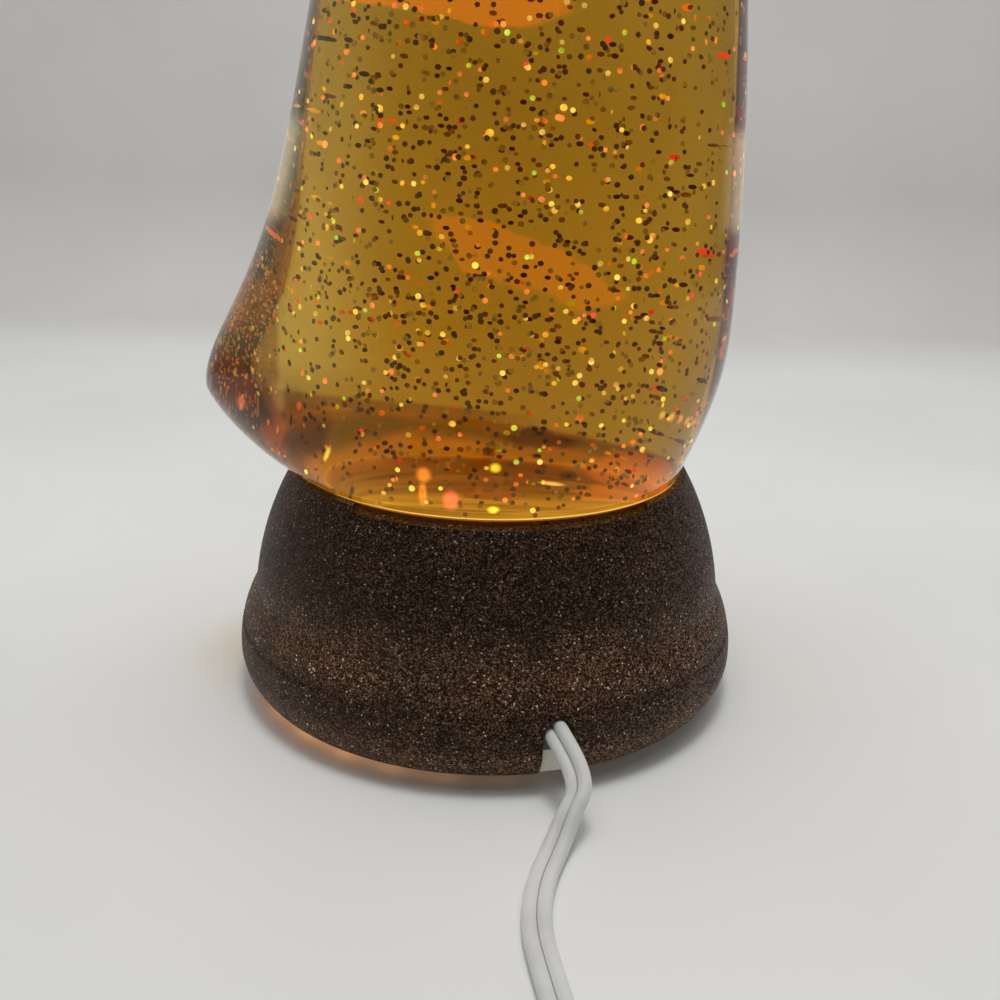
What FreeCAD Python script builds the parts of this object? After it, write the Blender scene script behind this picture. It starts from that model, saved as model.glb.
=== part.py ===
import FreeCAD, Part
import Sketcher
import math
import os
import re

# A glitter lamp: a clear vessel of amber liquid on a domed base that holds a lamp board
# and a motor, which turns a stirrer wheel in the liquid through a pair of magnets.
# Millimetres. Z is up, the table is at zero and the lamp's axis is the Z axis.
# The cord leaves towards -Y.

# Driving sizes

sizes = {
    # base shell, outside
    "edge_height": 3.3,
    "edge_step": 2.6,
    "wide_height": 9.9,
    "wide_radius": 57.1,
    "waist_height": 24.0,
    "waist_step": 4.0,
    "dome_bow": 64.0,
    "rim_height": 50.6,
    "shell_wall": 2.2,
    "crease_height": 16.4,
    "crease_size": 1.5,
    "crease_offset": 1.2,
    "relief_depth": 1.1,
    "relief_half_width": 29.0,
    "relief_centre": 3.0,
    # ledge inside the rim, which the vessel's foot stands on
    "ledge_radius": 38.6,
    "ledge_height": 45.2,
    "ledge_thickness": 1.7,
    # cord notch in the shell
    "cord_angle": 15.2,
    "notch_width": 6.2,
    "notch_height": 15.8,
    "notch_arch": 3.4,
    "cord_step_top": 8.7,
    "cord_step_reach": 3.9,
    # screw bosses of the shell
    "boss_offset": 42.0,
    "boss_radius": 3.75,
    "boss_bottom": 8.2,
    "pilot_depth": 12.0,
    "fit_gap": 0.1,
    "free_gap": 0.3,
    "overlap": 1.0,
    "thread_share": 0.8,
    # bottom plate
    "plate_height": 4.0,
    "plate_thickness": 2.0,
    "plate_rim_height": 4.9,
    "plate_rim_wall": 1.8,
    "vent_inner": 12.0,
    "vent_length": 11.0,
    "vent_width": 2.6,
    "edge_vent_inset": 7.0,
    "edge_vent_length": 7.0,
    "pad_radius": 3.9,
    "counterbore_depth": 2.4,
    # rubber feet
    "rubber_radius": 5.5,
    "rubber_offset": 36.0,
    # screws
    "screw_radius": 1.4,
    "screw_head_radius": 2.7,
    "screw_head_height": 1.9,
    "small_screw_radius": 1.0,
    "small_head_radius": 1.9,
    "small_head_height": 1.3,
    "small_screw_length": 5.0,
    # posts on the bottom plate
    "post_radius": 3.0,
    "led_post_offset": 29.5,
    "board_post_height": 10.0,
    "driver_centre": 33.0,
    "driver_post_offset": 12.0,
    # vessel
    "foot_radius": 41.6,
    "foot_bottom": 46.0,
    "vessel_wall": 2.0,
    "vessel_start": 50.9,
    "foot_overlap": 3.0,
    "shoulder_radius": 42.4,
    "vessel_half_width": 48.8,
    "vessel_half_depth": 45.6,
    "wide_level": 80.0,
    "vessel_top": 246.0,
    "crown_power": 1.53,
    "lean": 0.055,
    "wide_centre": 2.0,
    "tail_reach": 17.0,
    "tail_level": 67.0,
    "tail_fade": 26.5,
    "tail_fade_power": 1.5,
    "tail_under_power": 1.25,
    "tail_breadth": 0.62,
    "liquid_gap": 0.25,
    # glitter in the liquid
    "flake_radius": 0.55,
    "flake_thickness": 0.1,
    "flake_play": 0.02,
    "flake_margin": 3.0,
    "flake_count": 96,
    # plate that closes the vessel, filling plug, stirrer
    "closure_thickness": 2.5,
    "plug_offset": 26.0,
    "plug_radius": 5.4,
    "plug_flange": 7.4,
    "flange_thickness": 1.5,
    "pin_radius": 0.98,
    "pin_boss_radius": 4.0,
    "pin_boss_height": 1.5,
    "cap_radius": 2.5,
    "cap_thickness": 1.4,
    "running_gap": 0.06,
    "wheel_radius": 12.5,
    "wheel_disc": 2.2,
    "wheel_height": 7.0,
    "blade_thickness": 1.6,
    "hub_radius": 3.5,
    "stirrer_magnet_radius": 3.0,
    "stirrer_magnet_height": 1.6,
    "magnet_offset": 7.5,
    "swirl_radius": 15.0,
    "swirl_height": 12.0,
    # motor and what it turns
    "motor_radius": 12.2,
    "motor_flat": 10.0,
    "motor_height": 18.0,
    "bracket_height": 31.0,
    "sheet_metal": 1.5,
    "bracket_width": 18.0,
    "bracket_leg": 17.0,
    "bracket_foot": 28.0,
    "bracket_post_height": 10.0,
    "bracket_screw_offset": 24.0,
    "motor_screw_offset": 8.5,
    "motor_screw_depth": 3.5,
    "shaft_radius": 1.0,
    "shaft_seat": 3.0,
    "shaft_reach": 5.5,
    "tail_height": 0.5,
    "terminal_width": 2.2,
    "terminal_gauge": 0.5,
    "terminal_length": 3.0,
    "terminal_offset": 6.0,
    "carrier_lift": 2.5,
    "carrier_height": 6.0,
    "drive_magnet_radius": 4.0,
    "drive_magnet_height": 3.0,
    # lamp board and reflector
    "board_height": 36.0,
    "board_thickness": 1.6,
    "board_outer": 36.0,
    "board_inner": 16.0,
    "lamp_offset": 24.0,
    "lamp_radius": 2.5,
    "lamp_collar": 2.9,
    "collar_height": 1.0,
    "barrel_height": 3.0,
    "reflector_wall": 1.2,
    "reflector_foot": 33.4,
    "reflector_lip": 36.8,
    # supply board
    "driver_width": 22.0,
    "driver_length": 32.0,
    "transformer_length": 12.0,
    "transformer_width": 14.0,
    "transformer_height": 10.0,
    "capacitor_radius": 2.6,
    "capacitor_height": 9.0,
    "fuse_radius": 1.8,
    "fuse_height": 7.0,
    "round_part_x": 8.0,
    "round_part_y": 11.0,
    # cord clamp, turned with the notch
    "clamp_offset": 42.0,
    "clamp_length": 22.0,
    "clamp_width": 6.0,
    "clamp_thickness": 2.4,
    "clamp_screw_offset": 7.6,
    "saddle_top": 12.7,
    "cord_level": 10.9,
    # flexible cord, as a round tube of the flat cord's own section area
    "cord_radius": 1.8,
    "wire_radius": 0.7,
    # in-line switch
    "switch_x": 17.0,
    "switch_y": -158.0,
    "switch_width": 19.0,
    "switch_length": 54.0,
    "switch_height": 13.0,
    "switch_round": 3.0,
    "rocker_pivot": 8.4,
    "rocker_width": 8.6,
    "rocker_half_length": 8.0,
    "rocker_pin_radius": 1.2,
    "rocker_pin_reach": 1.2,
    "rocker_belly": 1.8,
    "rocker_belly_length": 5.0,
    "rocker_shoulder": 1.2,
    "rocker_end_height": 4.9,
    "rocker_middle_height": 3.6,
    "rocker_hollow": 32.0,
    "rocker_tilt": 12.0,
    "rocker_end_room": 1.4,
    "window_round": 0.6,
    "cover_round": 1.8,
    "contact_room_width": 12.0,
    "contact_room_length": 27.0,
    "contact_width": 5.0,
    "contact_length": 8.0,
    "contact_gauge": 0.8,
    "contact_offset": 7.5,
    "fulcrum_length": 1.5,
    "fulcrum_height": 2.4,
    "switch_screw_x": 6.3,
    "switch_screw_y": 19.3,
    "switch_screw_sink": 0.5,
    # coil of the put-away length
    "coil_x": -31.0,
    "coil_y": -166.0,
    "coil_mean_radius": 27.4,
    "coil_turns": 9.0,
    "coil_layers": 4.0,
    "coil_pitch": 5.4,
    "coil_layer_step": 4.1,
    "coil_climb": 0.5,
    # two-blade plug
    "plug_x": -80.0,
    "plug_y": -177.5,
    "plug_length": 21.0,
    "plug_width": 20.0,
    "plug_height": 13.0,
    "plug_neck": 20.0,
    "neck_start": 2.6,
    "neck_end": 5.4,
    "plug_corner": 3.9,
    "plug_edge": 3.2,
    "grip_width": 1.2,
    "grip_step": 2.8,
    "grip_depth": 0.7,
    "blade_spacing": 12.7,
    "blade_length": 16.0,
    "blade_width": 6.3,
    "blade_gauge": 1.5,
    "blade_root": 5.0,
}

doc = FreeCAD.newDocument("GlitterLamp")
sheet = doc.addObject("Spreadsheet::Sheet", "Sizes")
for row, (alias, number) in enumerate(sizes.items(), start=1):
    sheet.set(f"A{row}", alias)
    sheet.set(f"B{row}", str(number))
    sheet.setAlias(f"B{row}", alias)
doc.recompute()

nodes = {}


# Expressions on the sheet, written with the plain names above

def on_sheet(text):
    def point_to_cell(word):
        return f"Sizes.{word.group()}" if word.group() in sizes else word.group()

    return re.sub(r"[A-Za-z_]+", point_to_cell, text)


def value(text):
    return float(sheet.evalExpression(on_sheet(text)))


def bind(thing, path, text):
    thing.setExpression(path, on_sheet(text))


def keep(name, thing):
    # a finished sub-part: its label is its node's name
    thing.Label = name
    nodes[name] = thing
    return thing


def place(thing, x="0", y="0", z="0", turn="0"):
    thing.Placement = FreeCAD.Placement(
        FreeCAD.Vector(value(x), value(y), value(z)),
        FreeCAD.Rotation(FreeCAD.Vector(0, 0, 1), value(turn)),
    )
    bind(thing, "Placement.Base.x", x)
    bind(thing, "Placement.Base.y", y)
    bind(thing, "Placement.Base.z", z)
    if turn != "0":
        bind(thing, "Placement.Rotation.Angle", turn)
    return thing


# Part primitives and booleans

def cylinder(name, radius, height, x="0", y="0", z="0"):
    thing = doc.addObject("Part::Cylinder", name)
    bind(thing, "Radius", radius)
    bind(thing, "Height", height)
    return place(thing, x, y, z)


def cross_cylinder(name, radius, length, x, y, z):
    # a cylinder that lies along X, from x onwards
    thing = doc.addObject("Part::Cylinder", name)
    bind(thing, "Radius", radius)
    bind(thing, "Height", length)
    thing.Placement = FreeCAD.Placement(
        FreeCAD.Vector(value(x), value(y), value(z)),
        FreeCAD.Rotation(FreeCAD.Vector(0, 1, 0), 90),
    )
    bind(thing, "Placement.Base.x", x)
    bind(thing, "Placement.Base.y", y)
    bind(thing, "Placement.Base.z", z)
    return thing


def block(name, length, width, height, x, y, z):
    # a box centred on x and y that stands on z
    thing = doc.addObject("Part::Box", name)
    bind(thing, "Length", length)
    bind(thing, "Width", width)
    bind(thing, "Height", height)
    return place(thing, f"({x}) - ({length}) / 2", f"({y}) - ({width}) / 2", z)


def cut(name, base, tool):
    thing = doc.addObject("Part::Cut", name)
    thing.Base = base
    thing.Tool = tool
    return thing


def fuse(name, things):
    thing = doc.addObject("Part::MultiFuse", name)
    thing.Shapes = things
    return thing


def group(name, things):
    thing = doc.addObject("Part::Compound", name)
    thing.Links = things
    return thing


def polar(ring, angle):
    return f"({ring}) * cos({angle})", f"({ring}) * sin({angle})"


def screw(name, x, y, seat, length, small=False, upward=False):
    # seat is where the head bears; the shank runs down from it, or up
    kind = "small_" if small else ""
    head_radius = f"{kind}head_radius" if small else "screw_head_radius"
    head_height = f"{kind}head_height" if small else "screw_head_height"
    shank_radius = f"{kind}screw_radius" if small else "screw_radius"
    head_z = f"({seat}) - {head_height}" if upward else seat
    shank_z = f"({seat}) - {head_height} / 2" if upward else f"({seat}) - ({length})"
    head = cylinder(name + "_head", head_radius, head_height, x, y, head_z)
    shank_length = f"({length}) + {head_height} / 2"
    shank = cylinder(name + "_shank", shank_radius, shank_length, x, y, shank_z)
    return fuse(name, [head, shank])


# Sketches and PartDesign features

def origin_plane(body, role):
    return next(item for item in body.Origin.OriginFeatures if item.Role == role)


def new_body(name):
    body = doc.addObject("PartDesign::Body", name)
    return keep(name, body)


def new_sketch(body, name, plane="XY_Plane", lift="0", turn="0"):
    sketch = body.newObject("Sketcher::SketchObject", name)
    sketch.AttachmentSupport = (origin_plane(body, plane), [""])
    sketch.MapMode = "FlatFace"
    # a turn swings the plane about its own upright axis, and the lift with it
    lift_x = f"({lift}) * sin({turn})"
    lift_z = f"({lift}) * cos({turn})"
    sketch.AttachmentOffset = FreeCAD.Placement(
        FreeCAD.Vector(value(lift_x), 0, value(lift_z)),
        FreeCAD.Rotation(FreeCAD.Vector(0, 1, 0), value(turn)),
    )
    bind(sketch, "AttachmentOffset.Base.z", lift_z)
    if turn != "0":
        bind(sketch, "AttachmentOffset.Base.x", lift_x)
        bind(sketch, "AttachmentOffset.Rotation.Angle", turn)
    return sketch


def hold(sketch, constraint, text):
    index = sketch.addConstraint(constraint)
    bind(sketch, f"Constraints[{index}]", text)


def hold_point(sketch, curve, end, x, y):
    for kind, axis, text in (("DistanceX", -2, x), ("DistanceY", -1, y)):
        number = value(text)
        if abs(number) < 1e-7:
            sketch.addConstraint(Sketcher.Constraint("PointOnObject", curve, end, axis))
        elif number > 0:
            hold(sketch, Sketcher.Constraint(kind, -1, 1, curve, end, number), text)
        else:
            constraint = Sketcher.Constraint(kind, curve, end, -1, 1, -number)
            hold(sketch, constraint, f"-({text})")


def arc_middle(start, end, radius):
    # the middle of an arc that bows to the left of start to end, or right if radius < 0
    chord = end - start
    left = FreeCAD.Vector(-chord.y, chord.x, 0).normalize()
    half = chord.Length / 2
    sagitta = abs(radius) - math.sqrt(radius * radius - half * half)
    return (start + end) * 0.5 + left * math.copysign(sagitta, radius)


def outline(sketch, corners):
    # a closed outline; a corner (x, y, radius) is reached by an arc from the one before it
    spots = [FreeCAD.Vector(value(corner[0]), value(corner[1]), 0) for corner in corners]
    curves = []
    for index, corner in enumerate(corners):
        start, end = spots[index - 1], spots[index]
        if len(corner) == 2:
            curve = sketch.addGeometry(Part.LineSegment(start, end), False)
            curves.append((curve, 1, 2))
            continue
        middle = arc_middle(start, end, value(corner[2]))
        curve = sketch.addGeometry(Part.Arc(start, middle, end), False)
        forward = (sketch.getPoint(curve, 1) - start).Length < 1e-6
        curves.append((curve, 1, 2) if forward else (curve, 2, 1))
    for index, corner in enumerate(corners):
        curve, first, last = curves[index]
        before = curves[index - 1]
        joint = Sketcher.Constraint("Coincident", before[0], before[2], curve, first)
        sketch.addConstraint(joint)
        hold_point(sketch, curve, last, corner[0], corner[1])
        if len(corner) == 3:
            radius = corner[2].lstrip("-")
            hold(sketch, Sketcher.Constraint("Radius", curve, value(radius)), radius)


def circle(sketch, x, y, radius):
    spot = FreeCAD.Vector(value(x), value(y), 0)
    ring = Part.Circle(spot, FreeCAD.Vector(0, 0, 1), value(radius))
    curve = sketch.addGeometry(ring, False)
    hold_point(sketch, curve, 3, x, y)
    hold(sketch, Sketcher.Constraint("Radius", curve, value(radius)), radius)


def revolve(body, name, sketch, remove=False):
    kind = "PartDesign::Groove" if remove else "PartDesign::Revolution"
    feature = body.newObject(kind, name)
    feature.Profile = sketch
    feature.ReferenceAxis = (sketch, ["V_Axis"])
    feature.Angle = 360
    return feature


def pad(body, name, sketch, length):
    feature = body.newObject("PartDesign::Pad", name)
    feature.Profile = sketch
    bind(feature, "Length", length)
    return feature


def pocket(body, name, sketch, depth, along_normal=False):
    feature = body.newObject("PartDesign::Pocket", name)
    feature.Profile = sketch
    feature.Reversed = along_normal
    bind(feature, "Length", depth)
    return feature


def polar_copies(body, name, features, count):
    pattern = body.newObject("PartDesign::PolarPattern", name)
    pattern.Originals = features
    pattern.Axis = (origin_plane(body, "Z_Axis"), [""])
    pattern.Angle = 360
    pattern.Occurrences = count
    body.Tip = pattern
    return pattern


def vertical_arc(radial, height):
    # radius of an arc that is upright at one end and covers these distances
    return f"(({radial}) * ({radial}) + ({height}) * ({height})) / (2 * ({radial}))"


# Base shell

ledge_bottom = "ledge_height - ledge_thickness"
seat_radius = "foot_radius + free_gap"
rim_radius = f"{seat_radius} + shell_wall"
edge_radius = "wide_radius - edge_step"
waist_radius = "wide_radius - waist_step"
lower_roll = vertical_arc("edge_step", "wide_height - edge_height")
upper_roll = vertical_arc("waist_step", "waist_height - wide_height")


def make_base_shell():
    body = new_body("base_shell")
    section = new_sketch(body, "shell_section", "XZ_Plane")
    outline(section, [
        (edge_radius, "edge_height"),
        ("wide_radius", "wide_height", "-" + lower_roll),
        (waist_radius, "waist_height", "-" + upper_roll),
        (rim_radius, "rim_height", "-dome_bow"),
        (seat_radius, "rim_height"),
        (seat_radius, "ledge_height"),
        ("ledge_radius", "ledge_height"),
        ("ledge_radius", ledge_bottom),
        (rim_radius, ledge_bottom),
        (f"{waist_radius} - shell_wall", "waist_height", "dome_bow"),
        ("wide_radius - shell_wall", "wide_height", upper_roll),
        (f"{edge_radius} - shell_wall", "edge_height", lower_roll),
    ])
    revolve(body, "shell_wall_turned", section)

    crease = new_sketch(body, "crease_section", "XZ_Plane")
    drop = f"({upper_roll}) - sqrt(({upper_roll})^2 - (crease_height - wide_height)^2)"
    circle(crease, f"wide_radius - ({drop}) + crease_offset", "crease_height", "crease_size")
    revolve(body, "crease", crease, remove=True)

    boss = new_sketch(body, "boss_circle", lift="boss_bottom")
    boss_x, boss_y = polar("boss_offset", "45")
    circle(boss, boss_x, boss_y, "boss_radius")
    boss_pad = pad(body, "boss", boss, f"{ledge_bottom} + free_gap - boss_bottom")
    pilot = new_sketch(body, "pilot_circle", lift="boss_bottom")
    circle(pilot, boss_x, boss_y, "screw_radius + running_gap")
    doc.recompute()
    pilot_hole = pocket(body, "pilot_hole", pilot, "pilot_depth", along_normal=True)
    polar_copies(body, "four_bosses", [boss_pad, pilot_hole], 4)

    relief = new_sketch(body, "relief_outline", lift="rim_height")
    near = f"-({rim_radius}) - shell_wall"
    far = "-foot_radius / 2"
    outline(relief, [
        ("relief_centre - relief_half_width", near),
        ("relief_centre + relief_half_width", near),
        ("relief_centre + relief_half_width", far),
        ("relief_centre - relief_half_width", far),
    ])
    pocket(body, "relief", relief, "relief_depth")

    # the notch's top is an arch that springs from upright sides
    notch = new_sketch(body, "notch_outline", "XZ_Plane", turn="cord_angle")
    half = "notch_width / 2"
    spring = f"notch_height - notch_arch + sqrt(notch_arch^2 - ({half})^2)"
    outline(notch, [
        (f"-{half}", "0"),
        (half, "0"),
        (half, spring),
        (f"-{half}", spring, "-notch_arch"),
    ])
    pocket(body, "notch", notch, "wide_radius + shell_wall", along_normal=True)


# Bottom plate with its posts and the saddle of the cord clamp

plate_top = "plate_height + plate_thickness"
plate_radius = f"{edge_radius} - shell_wall - free_gap"
driver_post_x = "-driver_centre"


def make_bottom_plate():
    body = new_body("bottom_plate")
    section = new_sketch(body, "plate_section", "XZ_Plane")
    rim_top = "plate_height + plate_rim_height"
    outline(section, [
        ("0", "plate_height"),
        (plate_radius, "plate_height"),
        (plate_radius, rim_top),
        (f"{plate_radius} - plate_rim_wall", rim_top),
        (f"{plate_radius} - plate_rim_wall", plate_top),
        ("0", plate_top),
    ])
    revolve(body, "plate_turned", section)

    for name, inner, length, count, angle in (
        ("vent", "vent_inner", "vent_length", 12, 15),
        ("edge_vent", f"{plate_radius} - edge_vent_inset - edge_vent_length / 2",
         "edge_vent_length", 8, 22.5),
    ):
        slot = new_sketch(body, name + "_outline", lift=plate_top)
        slot_outline(slot, inner, length, angle)
        doc.recompute()
        slot_cut = pocket(body, name, slot, "plate_thickness")
        polar_copies(body, name + "_ring", [slot_cut], count)

    pad_sketch = new_sketch(body, "pad_circles", lift="plate_height")
    for angle in (45, 135, 225, 315):
        circle(pad_sketch, *polar("boss_offset", angle), "pad_radius")
    pad(body, "screw_pads", pad_sketch, "boss_bottom - free_gap / 2 - plate_height")
    head_sketch = new_sketch(body, "counterbores", lift="plate_height")
    shank_sketch = new_sketch(body, "screw_holes", lift="plate_height")
    for angle in (45, 135, 225, 315):
        circle(head_sketch, *polar("boss_offset", angle), "screw_head_radius + free_gap")
        circle(shank_sketch, *polar("boss_offset", angle), "screw_radius + free_gap")
    doc.recompute()
    pocket(body, "counterbore", head_sketch, "counterbore_depth", along_normal=True)
    pocket(body, "screw_hole", shank_sketch, "boss_bottom", along_normal=True)

    led_posts = new_sketch(body, "led_post_circles", lift="plate_height + overlap")
    for angle in (0, 120, 240):
        circle(led_posts, *polar("led_post_offset", angle), "post_radius")
    pad(body, "led_posts", led_posts, "board_height - plate_height - overlap")
    posts = new_sketch(body, "post_circles", lift="plate_height + overlap")
    for x, y in board_post_places():
        circle(posts, x, y, "post_radius")
    pad(body, "board_posts", posts, "board_post_height - plate_height - overlap")
    holes = new_sketch(body, "post_holes", lift="board_post_height")
    led_holes = new_sketch(body, "led_post_holes", lift="board_height")
    for x, y in board_post_places():
        circle(holes, x, y, "small_screw_radius + running_gap")
    for angle in (0, 120, 240):
        circle(led_holes, *polar("led_post_offset", angle), "small_screw_radius + running_gap")
    doc.recompute()
    pocket(body, "post_hole", holes, "small_screw_length")
    pocket(body, "led_post_hole", led_holes, "small_screw_length")

    make_saddle(body)
    make_cord_step(body)


def make_cord_step(body):
    # a step outside the plate's rim fills the foot of the shell's notch, under the cord
    inside = f"{plate_radius} - plate_rim_wall / 2"
    step = new_sketch(body, "cord_step_outline", "XZ_Plane", inside, "cord_angle")
    half = "notch_width / 2 - free_gap"
    outline(step, [
        (f"-({half})", "plate_height"),
        (half, "plate_height"),
        (half, "cord_step_top"),
        (f"-({half})", "cord_step_top"),
    ])
    pad(body, "cord_step", step, "cord_step_reach")


def board_post_places():
    # the supply board's two posts, then the motor bracket's two
    return (
        (driver_post_x, "driver_post_offset"),
        (driver_post_x, "-driver_post_offset"),
        ("0", "bracket_screw_offset"),
        ("0", "-bracket_screw_offset"),
    )


def slot_outline(sketch, inner, length, angle):
    # a slot with square ends that runs outwards at this angle
    half = "vent_width / 2"
    corners = []
    for along, across in (
        (inner, f"-{half}"),
        (f"({inner}) + {length}", f"-{half}"),
        (f"({inner}) + {length}", half),
        (inner, half),
    ):
        x = f"({along}) * cos({angle}) - ({across}) * sin({angle})"
        y = f"({along}) * sin({angle}) + ({across}) * cos({angle})"
        corners.append((x, y))
    outline(sketch, corners)


def make_saddle(body):
    # a block across the cord with a channel that the cord lies in
    near_side = "clamp_offset - clamp_width / 2"
    saddle = new_sketch(body, "saddle_outline", "XZ_Plane", near_side, "cord_angle")
    half = "clamp_length / 2"
    channel = "cord_radius + free_gap / 2"
    bed = "cord_level - cord_radius - free_gap / 2"
    outline(saddle, [
        (f"-{half}", "plate_height + overlap"),
        (half, "plate_height + overlap"),
        (half, "saddle_top"),
        (channel, "saddle_top"),
        (channel, bed),
        (f"-({channel})", bed),
        (f"-({channel})", "saddle_top"),
        (f"-{half}", "saddle_top"),
    ])
    pad(body, "saddle", saddle, "clamp_width")
    holes = new_sketch(body, "saddle_holes", lift="saddle_top")
    for x, y in clamp_screw_places():
        circle(holes, x, y, "small_screw_radius + running_gap")
    doc.recompute()
    pocket(body, "saddle_hole", holes, "small_screw_length")


def clamp_screw_places():
    # one on each side of the cord, on the line across it
    return [
        (f"clamp_offset * sin(cord_angle) + {side} * clamp_screw_offset * cos(cord_angle)",
         f"-clamp_offset * cos(cord_angle) + {side} * clamp_screw_offset * sin(cord_angle)")
        for side in (-1, 1)
    ]


# Feet, screws and the foam ring

def make_feet():
    feet = []
    for index in range(4):
        x, y = polar("rubber_offset", 90 * index)
        foot = cylinder(f"foot_{index}", "rubber_radius", "plate_height", x, y)
        feet.append(foot)
    keep("rubber_feet", group("feet", feet))


def make_screws():
    seat = "plate_height + counterbore_depth"
    length = "boss_bottom + pilot_depth * thread_share - plate_height - counterbore_depth"
    screws = []
    for index, angle in enumerate((45, 135, 225, 315)):
        x, y = polar("boss_offset", angle)
        screws.append(screw(f"plate_screw_{index}", x, y, seat, length, upward=True))
    keep("plate_screws", group("plate_screw_set", screws))

    board_top = "board_height + board_thickness"
    small_length = "board_thickness + small_screw_length * thread_share"
    screws = []
    for index, angle in enumerate((0, 120, 240)):
        x, y = polar("led_post_offset", angle)
        screws.append(screw(f"led_screw_{index}", x, y, board_top, small_length, small=True))
    keep("led_screws", group("led_screw_set", screws))

    driver_top = "board_post_height + board_thickness"
    driver, bracket = board_post_places()[:2], board_post_places()[2:]
    screws = [screw(f"driver_screw_{index}", x, y, driver_top, small_length, small=True)
              for index, (x, y) in enumerate(driver)]
    keep("driver_screws", group("driver_screw_set", screws))
    foot_top = "board_post_height + sheet_metal"
    foot_length = "sheet_metal + small_screw_length * thread_share"
    screws = [screw(f"bracket_screw_{index}", x, y, foot_top, foot_length, small=True)
              for index, (x, y) in enumerate(bracket)]
    keep("bracket_screws", group("bracket_screw_set", screws))

    bridge_top = "bracket_height + sheet_metal"
    screws = [screw(f"motor_screw_{index}", "0", f"{side} * motor_screw_offset", bridge_top,
                    "sheet_metal + motor_screw_depth * thread_share", small=True)
              for index, side in enumerate((-1, 1))]
    keep("motor_screws", group("motor_screw_set", screws))


def make_seat_ring():
    gap = "free_gap / 6"
    height = "foot_bottom - ledge_height - free_gap / 3"
    outer = cylinder("seat_ring_outer", "foot_radius", height, z=f"ledge_height + {gap}")
    inner = cylinder("seat_ring_inner", "ledge_radius + free_gap", height,
                     z=f"ledge_height + {gap}")
    keep("seat_ring", cut("seat_ring_cut", outer, inner))


# Vessel: level sections that widen from the foot, reach out on the left in a flared tail
# just above it, and close in a leaning crown

def vessel_section(level, inset):
    start = value("vessel_start")
    wide = value("wide_level")
    top = value("vessel_top") - inset
    shoulder = value("shoulder_radius")
    centre = value("wide_centre")
    if level <= wide:
        share = (level - start) / (wide - start)
        swell = math.sin(math.pi / 2 * share)
        half_width = shoulder + (value("vessel_half_width") - shoulder) * swell
        half_depth = shoulder + (value("vessel_half_depth") - shoulder) * swell
        centre *= share
    else:
        share = (level - wide) / (top - wide)
        closing = math.sqrt(1 - share ** value("crown_power"))
        half_width = value("vessel_half_width") * closing
        half_depth = value("vessel_half_depth") * closing
        centre += value("lean") * (level - wide)
    return centre, half_width - inset, half_depth - inset, tail_reach(level)


def tail_reach(level):
    # how far the tail stands out: a full curve below its tip, a long fade above it
    start, tip = value("vessel_start"), value("tail_level")
    reach = value("tail_reach")
    if level < tip:
        share = (tip - level) / (tip - start)
        return reach * math.sqrt(max(0.0, 1 - share ** value("tail_under_power")))
    fade = (level - tip) / value("tail_fade")
    return reach * math.exp(-(fade ** value("tail_fade_power")))


def section_wire(level, inset):
    centre, half_width, half_depth, reach = vessel_section(level, inset)
    count = 20
    points = []
    for index in range(count):
        angle = 2 * math.pi * index / count
        away = (angle - math.pi) / value("tail_breadth")
        x = centre + half_width * math.cos(angle) - reach * math.exp(-away * away)
        points.append(FreeCAD.Vector(x, half_depth * math.sin(angle), level))
    curve = Part.BSplineCurve()
    curve.interpolate(Points=points, PeriodicFlag=True)
    return Part.Wire([curve.toShape()])


def vessel_solid(inset, bottom):
    # levels close up towards the crown, where the outline turns over
    start, tip = value("vessel_start") + inset / 2, value("tail_level")
    wide, top = value("wide_level"), value("vessel_top") - inset
    levels = [start + (tip - start) * share for share in (0, 0.12, 0.32, 0.62, 1)]
    crown = (0, 0.07, 0.16, 0.27, 0.4, 0.54, 0.68, 0.8, 0.89, 0.95, 0.984, 0.998)
    levels += [wide + (top - wide) * share for share in crown]
    body = Part.makeLoft([section_wire(level, inset) for level in levels], True, False)
    foot_height = start + value("foot_overlap") - bottom
    foot = Part.makeCylinder(value("foot_radius") - inset, foot_height,
                             FreeCAD.Vector(0, 0, bottom))
    return body.fuse(foot).removeSplitter()


def keep_shape(name, shape):
    thing = doc.addObject("Part::Feature", name)
    thing.Shape = shape
    return keep(name, thing)


closure_top = "foot_bottom + closure_thickness"


def make_vessel():
    wall = value("vessel_wall")
    outer = vessel_solid(0.0, value("foot_bottom"))
    inner = vessel_solid(wall, value("foot_bottom - overlap"))
    keep_shape("vessel_shell", outer.cut(inner))

    liquid_bottom = value(f"{closure_top} + liquid_gap")
    liquid = vessel_solid(wall + value("liquid_gap"), liquid_bottom)
    room = Part.makeCylinder(value("swirl_radius"), value("swirl_height + overlap"),
                             FreeCAD.Vector(0, 0, liquid_bottom - value("overlap")))
    flakes, pockets = glitter(liquid_bottom + value("swirl_height + flake_margin"))
    keep_shape("glitter_flakes", flakes)
    keep_shape("amber_liquid", liquid.cut(room).cut(pockets))


# Glitter: round flakes of thin film, spread through the liquid by the golden angle, each
# with its flat side turned outwards

def glitter(low):
    high = value("vessel_top - vessel_wall - flake_margin * 2")
    count = round(value("flake_count"))
    flakes = []
    pockets = []
    for number in range(count):
        level = low + (high - low) * (number + 0.5) / count
        turn = number * math.pi * (3 - math.sqrt(5))
        out = math.sqrt(number * math.sqrt(2) % 1)
        centre, half_width, half_depth, _ = vessel_section(
            level, value("vessel_wall + flake_margin"))
        x = centre + half_width * out * math.cos(turn)
        y = half_depth * out * math.sin(turn)
        flakes.append(flake(FreeCAD.Vector(x, y, level), turn, 0.0))
        pockets.append(flake(FreeCAD.Vector(x, y, level), turn, value("flake_play")))
    return Part.makeCompound(flakes), Part.makeCompound(pockets)


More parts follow.
